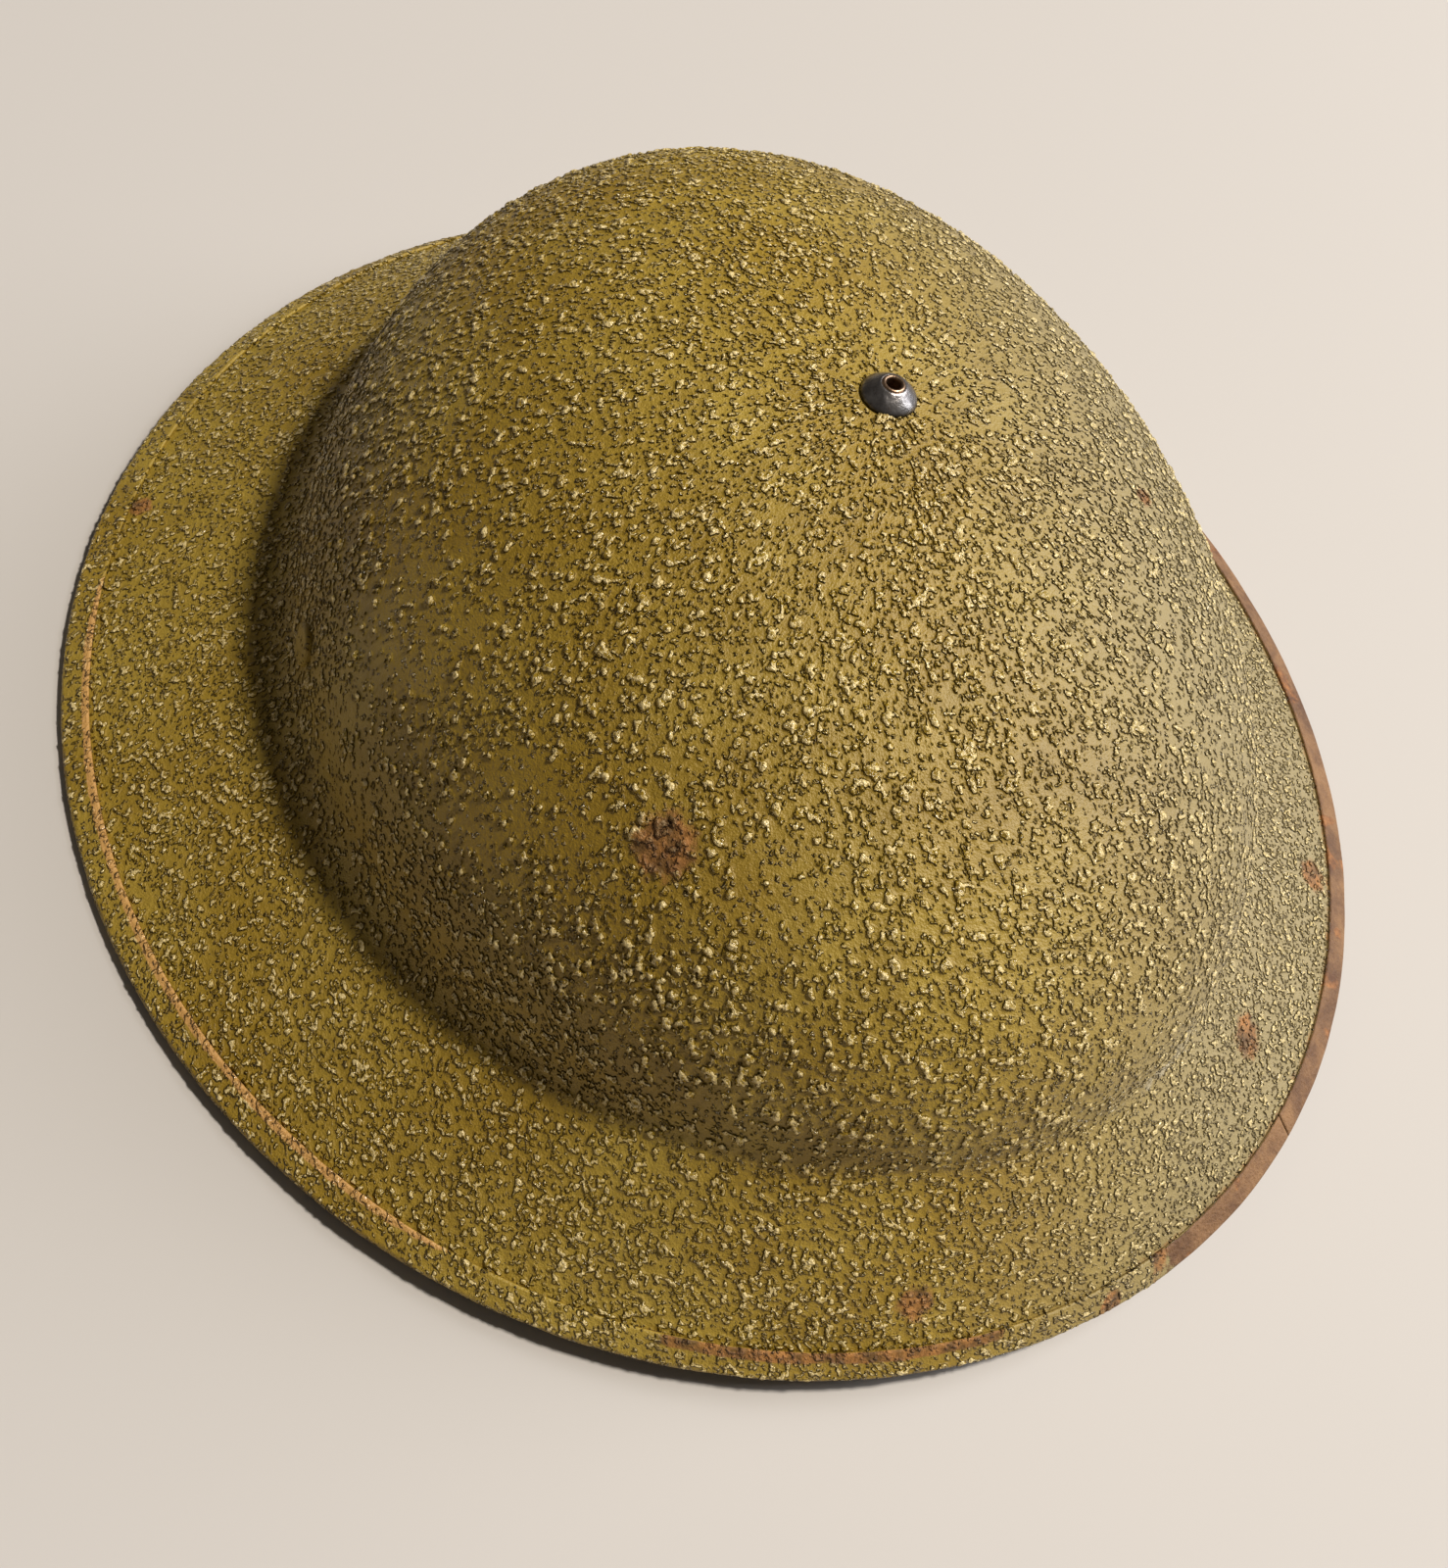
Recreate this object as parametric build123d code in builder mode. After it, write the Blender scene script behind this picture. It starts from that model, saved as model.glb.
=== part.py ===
"""A pressed steel trench helmet with its liner and chin strap, in millimetres.

The frame: +X is the wearer's left, -Y the front, +Z up. The origin is at the middle of the rim,
on the surface that the brim stands on.
"""

import os
from math import asin, atan, atan2, cos, radians, sin, sqrt, tan

from build123d import *

os.makedirs("parts", exist_ok=True)

# Shell, as the outline over the rim strip and the bowl inside it
rim_length = 311.0
rim_width = 298.0
bowl_length = 248.0
bowl_width = 205.0
bowl_setback = 4.0
bowl_rise = 86.0
crease_height = 18.4
crease_end_rise = 20.0
brim_end_rise = 4.9
crease_radius = 12.0
sheet = 0.9

# Rim strip, folded over the brim edge
strip_sheet = 0.7
strip_gap = 0.05
strip_band = 6.35
strip_joint_gap = 0.5
strip_joint_turn = 127.5

# Crown rivet and what it holds
tube_radius = 2.0
tube_bore = 1.4
roll_radius = 2.3
roll_height = 0.7
clench_radius = 3.4
clench_thickness = 0.7
cap_radius = 5.5
cap_height = 3.1
cap_sheet = 0.6
cap_top_radius = 2.6
crown_fit = 0.1
washer_radius = 8.0
washer_thickness = 1.0
felt_radius = 25.0
felt_thickness = 2.4
patch_radius = 18.0
patch_thickness = 1.6

# Liner
band_side_room = 22.5
band_end_room = 22.0
band_thickness = 1.6
band_bottom = 22.0
band_height = 32.0
cradle_drop = 3.2
cradle_cloth = 1.2
cradle_lap = 12.0
cradle_strap_width = 22.0
cradle_disc_radius = 27.0
cradle_straps = 6
soft_gap = 0.2
net_rise = 30.0
net_thickness = 1.2
net_lap = 10.0
net_opening_radius = 26.0
lace_radius = 1.3

# Rubber buffers between the head band and the shell
buffers = 12
buffer_radius = 5.5
buffer_bore = 3.0
buffer_length = 22.0
buffer_height = 45.0
buffer_gap = 0.3
tape_thickness = 0.8
tape_height = 8.0
tape_slack = 0.6

# Lugs and their rivets, which the chin strap swings on
pivot_height = 33.0
pin_radius = 2.0
pin_fit = 0.08
pin_head_radius = 4.5
pin_head_height = 1.3
pin_head_round = 0.9
pin_clench_radius = 3.6
pin_clench_thickness = 1.0
spacer_radius = 4.5
spacer_thickness = 2.2
lug_sheet = 1.0
lug_gap = 0.1
lug_width = 12.0
lug_disc_radius = 7.5
lug_reach = 13.0
lug_curl = 285.0

# Bails, the wire loops between lugs and strap
wire_radius = 1.25
wire_gap = 0.25
bail_corner = 3.0
bail_inside_width = 15.2
bail_drop = 14.0
bail_lean = 8.4

# Chin strap: a short and a long half, one behind the other at the rear
strap_width = 14.0
strap_thickness = 2.0
strap_end_room = 21.5
strap_corner = 69.0
strap_bend_share = 0.81
strap_table_gap = 2.2
strap_layer_gap = 0.3
eye_radius = 3.7
eye_tail = 25.0
eye_tail_join = 11.0
short_end = 18.0
long_end = 36.0
strap_rivet_place = 17.0
strap_rivet_radius = 1.5
strap_rivet_head = 3.0
strap_rivet_head_thickness = 0.8

# Buckle and keeper, which go round both halves
buckle_length = 9.0
buckle_sheet = 1.0
buckle_gap = 0.3
buckle_round = 0.8
buckle_window = 4.0
buckle_place = -3.0
keeper_length = 5.0
keeper_sheet = 1.4
keeper_place = 16.0

# One overrun for every cut that goes right through
overrun = 5.0

# What the driving sizes give
nose_radius = sheet / 2 + strip_gap + strip_sheet
strip_inside = sheet / 2 + strip_gap
bowl_long = (bowl_length - sheet) / 2
bowl_wide = (bowl_width - sheet) / 2
edge_long = rim_length / 2 - nose_radius
edge_wide = rim_width / 2 - nose_radius
crown_height = nose_radius + crease_height + bowl_rise - sheet / 2
crown_outside = crown_height + sheet / 2
crown_inside = crown_height - sheet / 2
strap_reach = rim_length / 2 - strap_end_room
strap_corner_radius = strap_bend_share * strap_corner

# Sections go round half of the helmet, front to rear, and the other half is their mirror image
half_sections = 13
section_turns = [radians(-90 + 180 * step / (half_sections - 1)) for step in range(half_sections)]
bowl_steps = 9


def section_plane(turn):
    """The upright plane through the bowl's axis, with local x outward and local y up."""
    return Plane(
        origin=(0, bowl_setback, 0),
        x_dir=(cos(turn), sin(turn), 0),
        z_dir=(sin(turn), -cos(turn), 0),
    )


def oval_reach(turn, wide, long):
    """Distance from an oval's middle to its edge, for half sizes wide in X and long in Y."""
    return 1 / sqrt((cos(turn) / wide) ** 2 + (sin(turn) / long) ** 2)


def crease_point(turn):
    """Middle of the sheet where the bowl wall would meet the brim."""
    reach = oval_reach(turn, bowl_wide, bowl_long)
    endward = reach * sin(turn) / bowl_long
    return reach, nose_radius + crease_height + crease_end_rise * endward**2


def edge_point(turn):
    """Middle of the sheet at the brim edge, seen from the bowl's axis."""
    a = (cos(turn) / edge_wide) ** 2 + (sin(turn) / edge_long) ** 2
    b = 2 * bowl_setback * sin(turn) / edge_long**2
    c = (bowl_setback / edge_long) ** 2 - 1
    reach = (-b + sqrt(b * b - 4 * a * c)) / (2 * a)
    endward = (bowl_setback + reach * sin(turn)) / edge_long
    return reach, nose_radius + brim_end_rise * endward**2


def brim_directions(turn):
    """Unit vectors down along the brim, and square to it on its upper side."""
    (crease_x, crease_z), (edge_x, edge_z) = crease_point(turn), edge_point(turn)
    run = sqrt((edge_x - crease_x) ** 2 + (edge_z - crease_z) ** 2)
    along = ((edge_x - crease_x) / run, (edge_z - crease_z) / run)
    return along, (-along[1], along[0])


def dome_point(reach, rise, base, angle, depth):
    """A point of a quarter ellipse, angle from its top, moved square inward by depth."""
    normal_x, normal_z = sin(angle) / reach, cos(angle) / rise
    size = sqrt(normal_x**2 + normal_z**2)
    x = reach * sin(angle) - depth * normal_x / size
    return x, base + rise * cos(angle) - depth * normal_z / size


def dome_arc(reach, rise, base, angles, depth):
    """Points along a dome's section between two angles, with its directions at both."""
    first, last = angles
    points = [
        dome_point(reach, rise, base, first + (last - first) * step / (bowl_steps - 1), depth)
        for step in range(bowl_steps)
    ]
    return points, [(reach * cos(angle), -rise * sin(angle)) for angle in angles]


def shell_line(turn, depth):
    """The sheet's line at a depth below its middle: the curve to the brim, its directions, the edge."""
    reach, crease_z = crease_point(turn)
    rise = crown_height - crease_z
    along, up = brim_directions(turn)
    half_bend = (radians(90) + atan2(along[1], along[0])) / 2
    leg = crease_radius * tan(half_bend)
    angles = (tube_bore / reach, radians(90) - asin(leg / rise))
    points, (crown_direction, _) = dome_arc(reach, rise, crease_z, angles, depth)
    bend_out, bend_up = cos(half_bend), sin(half_bend)
    bend_rise = crease_radius / cos(half_bend) - crease_radius - depth
    points.append((reach + bend_rise * bend_out, crease_z + bend_rise * bend_up))
    points.append((reach + leg * along[0] - depth * up[0], crease_z + leg * along[1] - depth * up[1]))
    edge_x, edge_z = edge_point(turn)
    edge = (edge_x - depth * up[0], edge_z - depth * up[1])
    return points, (crown_direction, along), edge


def line_shares(points):
    """Where each point lies along the line, as shares of its length."""
    marks = [0.0]
    for (x0, z0), (x1, z1) in zip(points, points[1:]):
        marks.append(marks[-1] + sqrt((x1 - x0) ** 2 + (z1 - z0) ** 2))
    return [mark / marks[-1] for mark in marks]


def lofted_sheet(section_lines):
    """A sheet lofted through sections, each between an outer and an inner line, on both sides.

    Each line is a curve's points, its directions at both ends, and where it runs on to, if it does.
    """
    shares = line_shares(section_lines(0)[0][0])
    with BuildPart() as whole:
        for turn in section_turns:
            lines = section_lines(turn)
            ends = [straight or points[-1] for points, _, straight in lines]
            with BuildSketch(section_plane(turn)):
                with BuildLine():
                    for points, directions, straight in lines:
                        add(
                            Edge.make_spline(
                                [Vector(*point) for point in points],
                                tangents=[Vector(*direction) for direction in directions],
                                parameters=shares,
                            )
                        )
                        if straight:
                            Line(points[-1], straight)
                    Line(lines[0][0][0], lines[1][0][0])
                    Line(*ends)
                make_face()
        loft()
        mirror(about=Plane.YZ)
    return whole.part


def wall_angle(height):
    """Angle from the crown, along the dome's section, of a height on the side wall."""
    _, crease_z = crease_point(0)
    return radians(90) - asin((height - crease_z) / (crown_height - crease_z))


def wall_point(height, depth):
    """Side wall of the bowl at a height, in X and Z, at a depth below the middle of the sheet."""
    reach, crease_z = crease_point(0)
    return dome_point(reach, crown_height - crease_z, crease_z, wall_angle(height), depth)


# Shell, one pressed sheet with a hole for the crown rivet and one for each lug rivet
with BuildPart() as shell:
    add(lofted_sheet(lambda turn: (shell_line(turn, -sheet / 2), shell_line(turn, sheet / 2))))
    with Locations((0, bowl_setback, crown_height)):
        Cylinder(tube_radius + crown_fit, 2 * overrun, mode=Mode.SUBTRACT)
    with Locations((0, 0, pivot_height)):
        Cylinder(pin_radius + pin_fit, rim_width, rotation=(0, 90, 0), mode=Mode.SUBTRACT)
shell.part.label = "shell"


def strip_corner(turn, out, up):
    """A point of the strip's section, out along the brim and up from the brim edge."""
    edge_x, edge_z = edge_point(turn)
    along, square = brim_directions(turn)
    return edge_x + out * along[0] + up * square[0], edge_z + out * along[1] + up * square[1]


# Rim strip, folded round the edge, its two ends meeting at a butt joint
with BuildPart() as rim_strip:
    strip_leg = strip_band - nose_radius
    for turn in section_turns:
        with BuildSketch(section_plane(turn)):
            with BuildLine():
                Line(strip_corner(turn, -strip_leg, nose_radius), strip_corner(turn, 0, nose_radius))
                ThreePointArc(
                    strip_corner(turn, 0, nose_radius),
                    strip_corner(turn, nose_radius, 0),
                    strip_corner(turn, 0, -nose_radius),
                )
                Line(strip_corner(turn, 0, -nose_radius), strip_corner(turn, -strip_leg, -nose_radius))
                Line(
                    strip_corner(turn, -strip_leg, -nose_radius),
                    strip_corner(turn, -strip_leg, -strip_inside),
                )
                Line(strip_corner(turn, -strip_leg, -strip_inside), strip_corner(turn, 0, -strip_inside))
                ThreePointArc(
                    strip_corner(turn, 0, -strip_inside),
                    strip_corner(turn, strip_inside, 0),
                    strip_corner(turn, 0, strip_inside),
                )
                Line(strip_corner(turn, 0, strip_inside), strip_corner(turn, -strip_leg, strip_inside))
                Line(
                    strip_corner(turn, -strip_leg, strip_inside),
                    strip_corner(turn, -strip_leg, nose_radius),
                )
            make_face()
    loft()
    mirror(about=Plane.YZ)
    joint_x, joint_z = edge_point(radians(strip_joint_turn))
    with BuildSketch(section_plane(radians(strip_joint_turn))):
        with Locations((joint_x, joint_z)):
            Rectangle(2 * strip_band, 2 * strip_band)
    extrude(amount=strip_joint_gap / 2, both=True, mode=Mode.SUBTRACT)
rim_strip.part.label = "rim_strip"


def dome_layer(wide, long, rise, depths, radii, skirt):
    """A layer on a dome over the band: two depths, first and last radius (0 is the foot), a skirt."""

    def lines(turn):
        reach = oval_reach(turn, wide, long)
        first, last = radii
        angles = (asin(first / reach), asin(last / reach) if last else radians(90))
        both = []
        for depth in depths:
            points, directions = dome_arc(reach, rise, band_top, angles, depth)
            both.append((points, directions, (reach - depth, band_top - skirt) if skirt else None))
        return both

    return lofted_sheet(lines)


def crown_layer(top, thickness, radius):
    """A layer under the shell's crown, its top a depth below the middle of the sheet."""

    def lines(turn):
        reach, crease_z = crease_point(turn)
        angles = (asin((tube_radius + crown_fit) / reach), asin(radius / reach))
        both = []
        for depth in (top, top + thickness):
            points, directions = dome_arc(reach, crown_height - crease_z, crease_z, angles, depth)
            both.append((points, directions, None))
        return both

    return lofted_sheet(lines)


# Felt pad between the shell and the liner
with BuildPart() as crown_felt:
    add(crown_layer(sheet / 2 + crown_fit, felt_thickness, felt_radius))
crown_felt.part.label = "crown_felt"

# Head band, an upright oval band of oilcloth
band_wide, band_long = bowl_width / 2 - band_side_room, bowl_length / 2 - band_end_room
band_top = band_bottom + band_height
with BuildPart() as head_band:
    with BuildSketch(Plane.XY.offset(band_bottom)):
        with Locations((0, bowl_setback)):
            Ellipse(band_wide, band_long)
            Ellipse(band_wide - band_thickness, band_long - band_thickness, mode=Mode.SUBTRACT)
    extrude(amount=band_height)
head_band.part.label = "head_band"

# Liner cradle, oilcloth straps from a disc at the crown down to the outside of the head band
cradle_wide = band_wide + soft_gap + cradle_cloth
cradle_long = band_long + soft_gap + cradle_cloth
cradle_top = crown_inside - cradle_drop


def cradle_layer(outer, inner, radius, skirt):
    """A layer of the cradle's own dome, with the hole for the crown rivet."""
    radii = (tube_radius + crown_fit, radius)
    return dome_layer(cradle_wide, cradle_long, cradle_top - band_top, (outer, inner), radii, skirt)


with BuildPart() as liner_cradle:
    add(cradle_layer(0, cradle_cloth, 0, cradle_lap))
    with BuildSketch(Plane.XY.offset(band_bottom)):
        with Locations((0, bowl_setback)):
            Circle(cradle_disc_radius)
        for arm in range(cradle_straps // 2):
            with Locations(Location((0, bowl_setback), 360 * arm / cradle_straps)):
                Rectangle(rim_length, cradle_strap_width)
    extrude(amount=crown_height, mode=Mode.INTERSECT)
liner_cradle.part.label = "liner_cradle"

# Leather patch under the cradle's disc
with BuildPart() as crown_patch:
    patch_depth = cradle_cloth + crown_fit
    add(cradle_layer(patch_depth, patch_depth + patch_thickness, patch_radius, 0))
crown_patch.part.label = "crown_patch"

# Washer that the crown rivet is clenched over, lying against the curved patch at its edge
patch_sag = washer_radius**2 * (cradle_top - band_top) / (2 * cradle_wide**2)
washer_top = cradle_top - cradle_cloth - patch_thickness - 2 * crown_fit - patch_sag
with BuildPart() as crown_washer:
    with BuildSketch(Plane.XY.offset(washer_top)):
        with Locations((0, bowl_setback)):
            Circle(washer_radius)
            Circle(tube_radius + crown_fit, mode=Mode.SUBTRACT)
    extrude(amount=-washer_thickness)
crown_washer.part.label = "crown_washer"

# Dished cap round the end of the rivet, outside
cap_foot = crown_outside
cap_head = crown_outside + cap_height
with BuildPart() as crown_cap:
    with BuildSketch(Plane.YZ):
        with BuildLine():
            Polyline(
                (bowl_setback + cap_radius, cap_foot),
                (bowl_setback + cap_radius, cap_foot + cap_sheet / 2),
                (bowl_setback + cap_top_radius, cap_head),
                (bowl_setback + tube_radius + crown_fit / 2, cap_head),
                (bowl_setback + tube_radius + crown_fit / 2, cap_head - cap_sheet),
                (bowl_setback + cap_top_radius - cap_sheet / 2, cap_head - cap_sheet),
                (bowl_setback + cap_radius - cap_sheet, cap_foot),
                close=True,
            )
        make_face()
    revolve(axis=Axis((0, bowl_setback, 0), (0, 0, 1)))
crown_cap.part.label = "crown_cap"

# Crown rivet, a tube rolled over outside and clenched inside
washer_bottom = washer_top - washer_thickness
with BuildPart() as crown_rivet:
    with BuildSketch(Plane.YZ):
        with BuildLine():
            Polyline(
                (bowl_setback + tube_bore, cap_head + roll_height),
                (bowl_setback + roll_radius - roll_height / 2, cap_head + roll_height),
                (bowl_setback + roll_radius, cap_head + roll_height / 2),
                (bowl_setback + roll_radius, cap_head),
                (bowl_setback + tube_radius, cap_head),
                (bowl_setback + tube_radius, washer_bottom),
                (bowl_setback + clench_radius, washer_bottom),
                (bowl_setback + clench_radius, washer_bottom - clench_thickness / 2),
                (bowl_setback + clench_radius - clench_thickness / 2, washer_bottom - clench_thickness),
                (bowl_setback + tube_bore, washer_bottom - clench_thickness),
                close=True,
            )
        make_face()
    revolve(axis=Axis((0, bowl_setback, 0), (0, 0, 1)))
crown_rivet.part.label = "crown_rivet"

# Net over the head, sewn inside the head band, with a round opening at its top
net_wide = band_wide - band_thickness - soft_gap
net_long = band_long - band_thickness - soft_gap
with BuildPart() as string_net:
    add(dome_layer(net_wide, net_long, net_rise, (0, net_thickness), (net_opening_radius, 0), net_lap))
string_net.part.label = "string_net"

# Lace that gathers the net at its opening, lying in the net's edge
lace_ring = net_opening_radius - lace_radius - soft_gap
lace_z = band_top + net_rise * sqrt(1 - (net_opening_radius / net_wide) ** 2) - net_thickness / 2
with BuildPart() as draw_lace:
    with Locations((0, bowl_setback, lace_z)):
        Torus(lace_ring, lace_radius)
draw_lace.part.label = "draw_lace"


def buffer_plane(turn):
    """The plane square to a buffer at its middle, seated just outside the cradle's straps."""
    reach = oval_reach(turn, cradle_wide, cradle_long)
    x, y = reach * cos(turn), reach * sin(turn)
    normal = Vector(x / cradle_wide**2, y / cradle_long**2, 0).normalized()
    middle = Vector(x, y + bowl_setback, buffer_height) + normal * (buffer_gap + buffer_radius)
    return Plane(origin=middle, x_dir=normal, z_dir=normal.cross(Vector(0, 0, 1)))


# Rubber tubes, each a short piece of hose lying along the band
buffer_parts = []
for number in range(buffers):
    turn = radians(360 * (number + 1 / 2) / buffers)
    with BuildPart() as buffer_tube:
        with BuildSketch(buffer_plane(turn)):
            Circle(buffer_radius)
            Circle(buffer_bore, mode=Mode.SUBTRACT)
        extrude(amount=buffer_length / 2, both=True)
    buffer_tube.part.label = f"buffer_{number + 1:02d}"
    buffer_parts.append(buffer_tube.part)

# Tape that holds the tubes against the band, clear of their straight ends
tube_bulge = (buffer_length / 2) ** 2 * cradle_long / (2 * cradle_wide**2)
tape_wide = cradle_wide + 2 * buffer_radius + buffer_gap + tape_slack
tape_long = cradle_long + 2 * buffer_radius + buffer_gap + tape_slack + tube_bulge
with BuildPart() as buffer_tape:
    with BuildSketch(Plane.XY.offset(buffer_height - tape_height / 2)):
        with Locations((0, bowl_setback)):
            Ellipse(tape_wide + tape_thickness, tape_long + tape_thickness)
            Ellipse(tape_wide, tape_long, mode=Mode.SUBTRACT)
    extrude(amount=tape_height)
buffer_tape.part.label = "buffer_tape"

# The strap lies in one plane through both lug rivets, tilted down to the table at the rear
strap_drop = pivot_height - strap_width / 2 - strap_table_gap
strap_tilt = asin(strap_drop / strap_reach)
strap_plane = Plane(
    origin=(0, 0, pivot_height),
    x_dir=(1, 0, 0),
    z_dir=(0, sin(strap_tilt), cos(strap_tilt)),
)

# Places along X, from the wall inward, at the height of the lug rivets
wall_middle, wall_middle_z = wall_point(pivot_height, 0)
wall_outside, wall_outside_z = wall_point(pivot_height, -sheet / 2)
spacer_seat, _ = wall_point(pivot_height + spacer_radius, sheet / 2)
spacer_inside = spacer_seat - lug_gap - spacer_thickness
lug_outside = spacer_inside - lug_gap
lug_inside = lug_outside - lug_sheet
lug_middle = lug_outside - lug_sheet / 2
clench_outside = lug_inside - lug_gap
clench_inside = clench_outside - pin_clench_thickness
bar_x = lug_middle - lug_sheet / 2 - wire_radius - wire_gap
low_bar_x = bar_x - bail_lean
low_bar_y = lug_reach + bail_drop
bail_tilt = atan(bail_lean / bail_drop)
bail_span = sqrt(bail_lean**2 + bail_drop**2)


def strap_point(x, y):
    """A point of the strap's plane, x across and y back from the lug rivets."""
    return strap_plane.from_local_coords(Vector(x, y, 0))


def strap_direction(x, y):
    """A direction in the strap's plane."""
    return strap_point(x, y) - strap_plane.origin


def lug_pieces(side):
    """The rivet, spacer, lug and bail on one side, +1 for the wearer's left."""
    with BuildPart() as rivet:
        with BuildSketch(Plane.YZ.offset(side * clench_inside)):
            with Locations((0, pivot_height)):
                Circle(pin_clench_radius)
        extrude(amount=side * pin_clench_thickness)
        with BuildSketch(Plane.YZ.offset(side * clench_outside)):
            with Locations((0, pivot_height)):
                Circle(pin_radius)
        extrude(amount=side * (wall_outside - clench_outside + pin_head_height / 2))
        head_plane = Plane(
            origin=(side * wall_outside, 0, wall_outside_z),
            x_dir=(0, 1, 0),
            z_dir=(side * (wall_outside - wall_middle), 0, wall_outside_z - wall_middle_z),
        )
        with BuildSketch(head_plane):
            Circle(pin_head_radius)
        extrude(amount=pin_head_height)
        top_edges = rivet.edges().sort_by(Axis(head_plane.origin, head_plane.z_dir))
        fillet(top_edges[-1], pin_head_round)
    with BuildPart() as spacer:
        with BuildSketch(Plane.YZ.offset(side * spacer_inside)):
            with Locations((0, pivot_height)):
                Circle(spacer_radius)
                Circle(pin_radius + pin_fit, mode=Mode.SUBTRACT)
        extrude(amount=side * spacer_thickness)
        add(shell.part, mode=Mode.SUBTRACT)
    with BuildPart() as lug:
        with BuildSketch(strap_plane):
            with BuildLine():
                Line((side * lug_middle, 0), (side * lug_middle, lug_reach))
                CenterArc(
                    (side * bar_x, lug_reach),
                    lug_middle - bar_x,
                    0 if side > 0 else 180,
                    side * lug_curl,
                )
            trace(line_width=lug_sheet)
        extrude(amount=lug_width / 2, both=True)
        with BuildSketch(Plane.YZ.offset(side * lug_inside)):
            with Locations((0, pivot_height)):
                Circle(lug_disc_radius)
        extrude(amount=side * lug_sheet)
        with Locations((0, 0, pivot_height)):
            Cylinder(pin_radius + pin_fit, rim_width, rotation=(0, 90, 0), mode=Mode.SUBTRACT)
    bail_middle = strap_point(side * (bar_x + low_bar_x) / 2, (lug_reach + low_bar_y) / 2)
    bail_plane = Plane(
        origin=bail_middle,
        x_dir=strap_plane.z_dir,
        z_dir=strap_direction(side * cos(bail_tilt), sin(bail_tilt)),
    )
    with BuildSketch(bail_plane) as bail_outline:
        RectangleRounded(bail_inside_width + 2 * wire_radius, bail_span, bail_corner)
    ring = bail_outline.sketch.faces()[0].outer_wire()
    with BuildPart() as bail:
        with BuildSketch(Plane(origin=ring @ 0, z_dir=ring % 0)):
            Circle(wire_radius)
        sweep(path=ring)
    return rivet.part, spacer.part, lug.part, bail.part


left_pieces = lug_pieces(1)
right_pieces = lug_pieces(-1)
side_names = ("lug_rivet", "lug_washer", "lug", "bail")
side_parts = []
for side_name, pieces in (("left", left_pieces), ("right", right_pieces)):
    for name, piece in zip(side_names, pieces):
        piece.label = f"{name}_{side_name}"
        side_parts.append(piece)


def strap_half(side, layer, past_middle):
    """One half of the strap and its eye rivet: side +1 is left, layer +1 the outer one at the rear."""
    eye_x, start_x, far_x = low_bar_x, low_bar_x + layer * eye_radius, low_bar_x - layer * eye_radius
    rear = strap_reach + layer * (strap_thickness + strap_layer_gap) / 2
    start = Vector(start_x, low_bar_y)
    corner = Vector(strap_corner, rear)
    along = (corner - start).normalized()
    square = Vector(layer * -along.Y, layer * along.X)
    tail = square * (strap_thickness + strap_layer_gap)

    def mirror_x(point):
        return side * point.X, point.Y

    with BuildPart() as strap:
        with BuildSketch(strap_plane):
            with BuildLine():
                Polyline(
                    mirror_x(start + along * eye_tail + tail),
                    mirror_x(start + along * eye_tail_join + tail),
                    mirror_x(Vector(far_x, low_bar_y)),
                )
                ThreePointArc(
                    mirror_x(Vector(far_x, low_bar_y)),
                    mirror_x(Vector(eye_x, low_bar_y - eye_radius)),
                    mirror_x(start),
                )
                FilletPolyline(
                    mirror_x(start),
                    mirror_x(corner),
                    mirror_x(Vector(-past_middle, rear)),
                    radius=strap_corner_radius,
                )
            trace(line_width=strap_thickness)
        extrude(amount=strap_width / 2, both=True)
    head_start = start + along * strap_rivet_place - square * (strap_thickness / 2)
    shank = 2 * strap_thickness + strap_layer_gap
    rivet_plane = Plane(
        origin=strap_point(*mirror_x(head_start)),
        x_dir=strap_plane.z_dir,
        z_dir=strap_direction(*mirror_x(square)),
    )
    with BuildPart() as rivet:
        with BuildSketch(rivet_plane):
            Circle(strap_rivet_radius)
        extrude(amount=shank)
        with BuildSketch(rivet_plane, rivet_plane.offset(shank + strap_rivet_head_thickness)):
            Circle(strap_rivet_head)
        extrude(amount=-strap_rivet_head_thickness)
    with BuildPart() as holed:
        add(strap.part)
        with BuildSketch(rivet_plane.offset(-overrun)):
            Circle(strap_rivet_radius)
        extrude(amount=shank + 2 * overrun, mode=Mode.SUBTRACT)
    return holed.part, rivet.part


strap_short, strap_rivet_left = strap_half(1, -1, short_end)
strap_long, strap_rivet_right = strap_half(-1, 1, long_end)
for piece, name in (
    (strap_short, "strap_short"),
    (strap_long, "strap_long"),
    (strap_rivet_left, "strap_rivet_left"),
    (strap_rivet_right, "strap_rivet_right"),
):
    piece.label = name


def sleeve_plane(x):
    """The plane square to both halves of the strap where they lie together at the rear."""
    return Plane(origin=strap_point(x, strap_reach), x_dir=strap_plane.y_dir, z_dir=strap_plane.x_dir)


def sleeve(x, length, wall):
    """A rounded sleeve round both halves of the strap, at x across."""
    with BuildPart() as tube:
        with BuildSketch(sleeve_plane(x)):
            RectangleRounded(both_halves + 2 * wall, sleeve_inside_width + 2 * wall, buckle_round)
            Rectangle(both_halves, sleeve_inside_width, mode=Mode.SUBTRACT)
        extrude(amount=length / 2, both=True)
    return tube.part


both_halves = 2 * strap_thickness + strap_layer_gap + 2 * buckle_gap
sleeve_inside_width = strap_width + 2 * buckle_gap

# Buckle, a sheet sleeve with a window in its outer face
with BuildPart() as buckle:
    add(sleeve(buckle_place, buckle_length, buckle_sheet))
    with BuildSketch(Plane(origin=strap_point(buckle_place, strap_reach), z_dir=strap_plane.y_dir)):
        Rectangle(buckle_window, sleeve_inside_width - 2 * buckle_sheet)
    extrude(amount=both_halves, mode=Mode.SUBTRACT)
buckle.part.label = "buckle"

# Keeper, a leather loop that holds the long half's end
with BuildPart() as keeper:
    add(sleeve(keeper_place, keeper_length, keeper_sheet))
keeper.part.label = "keeper"

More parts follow.
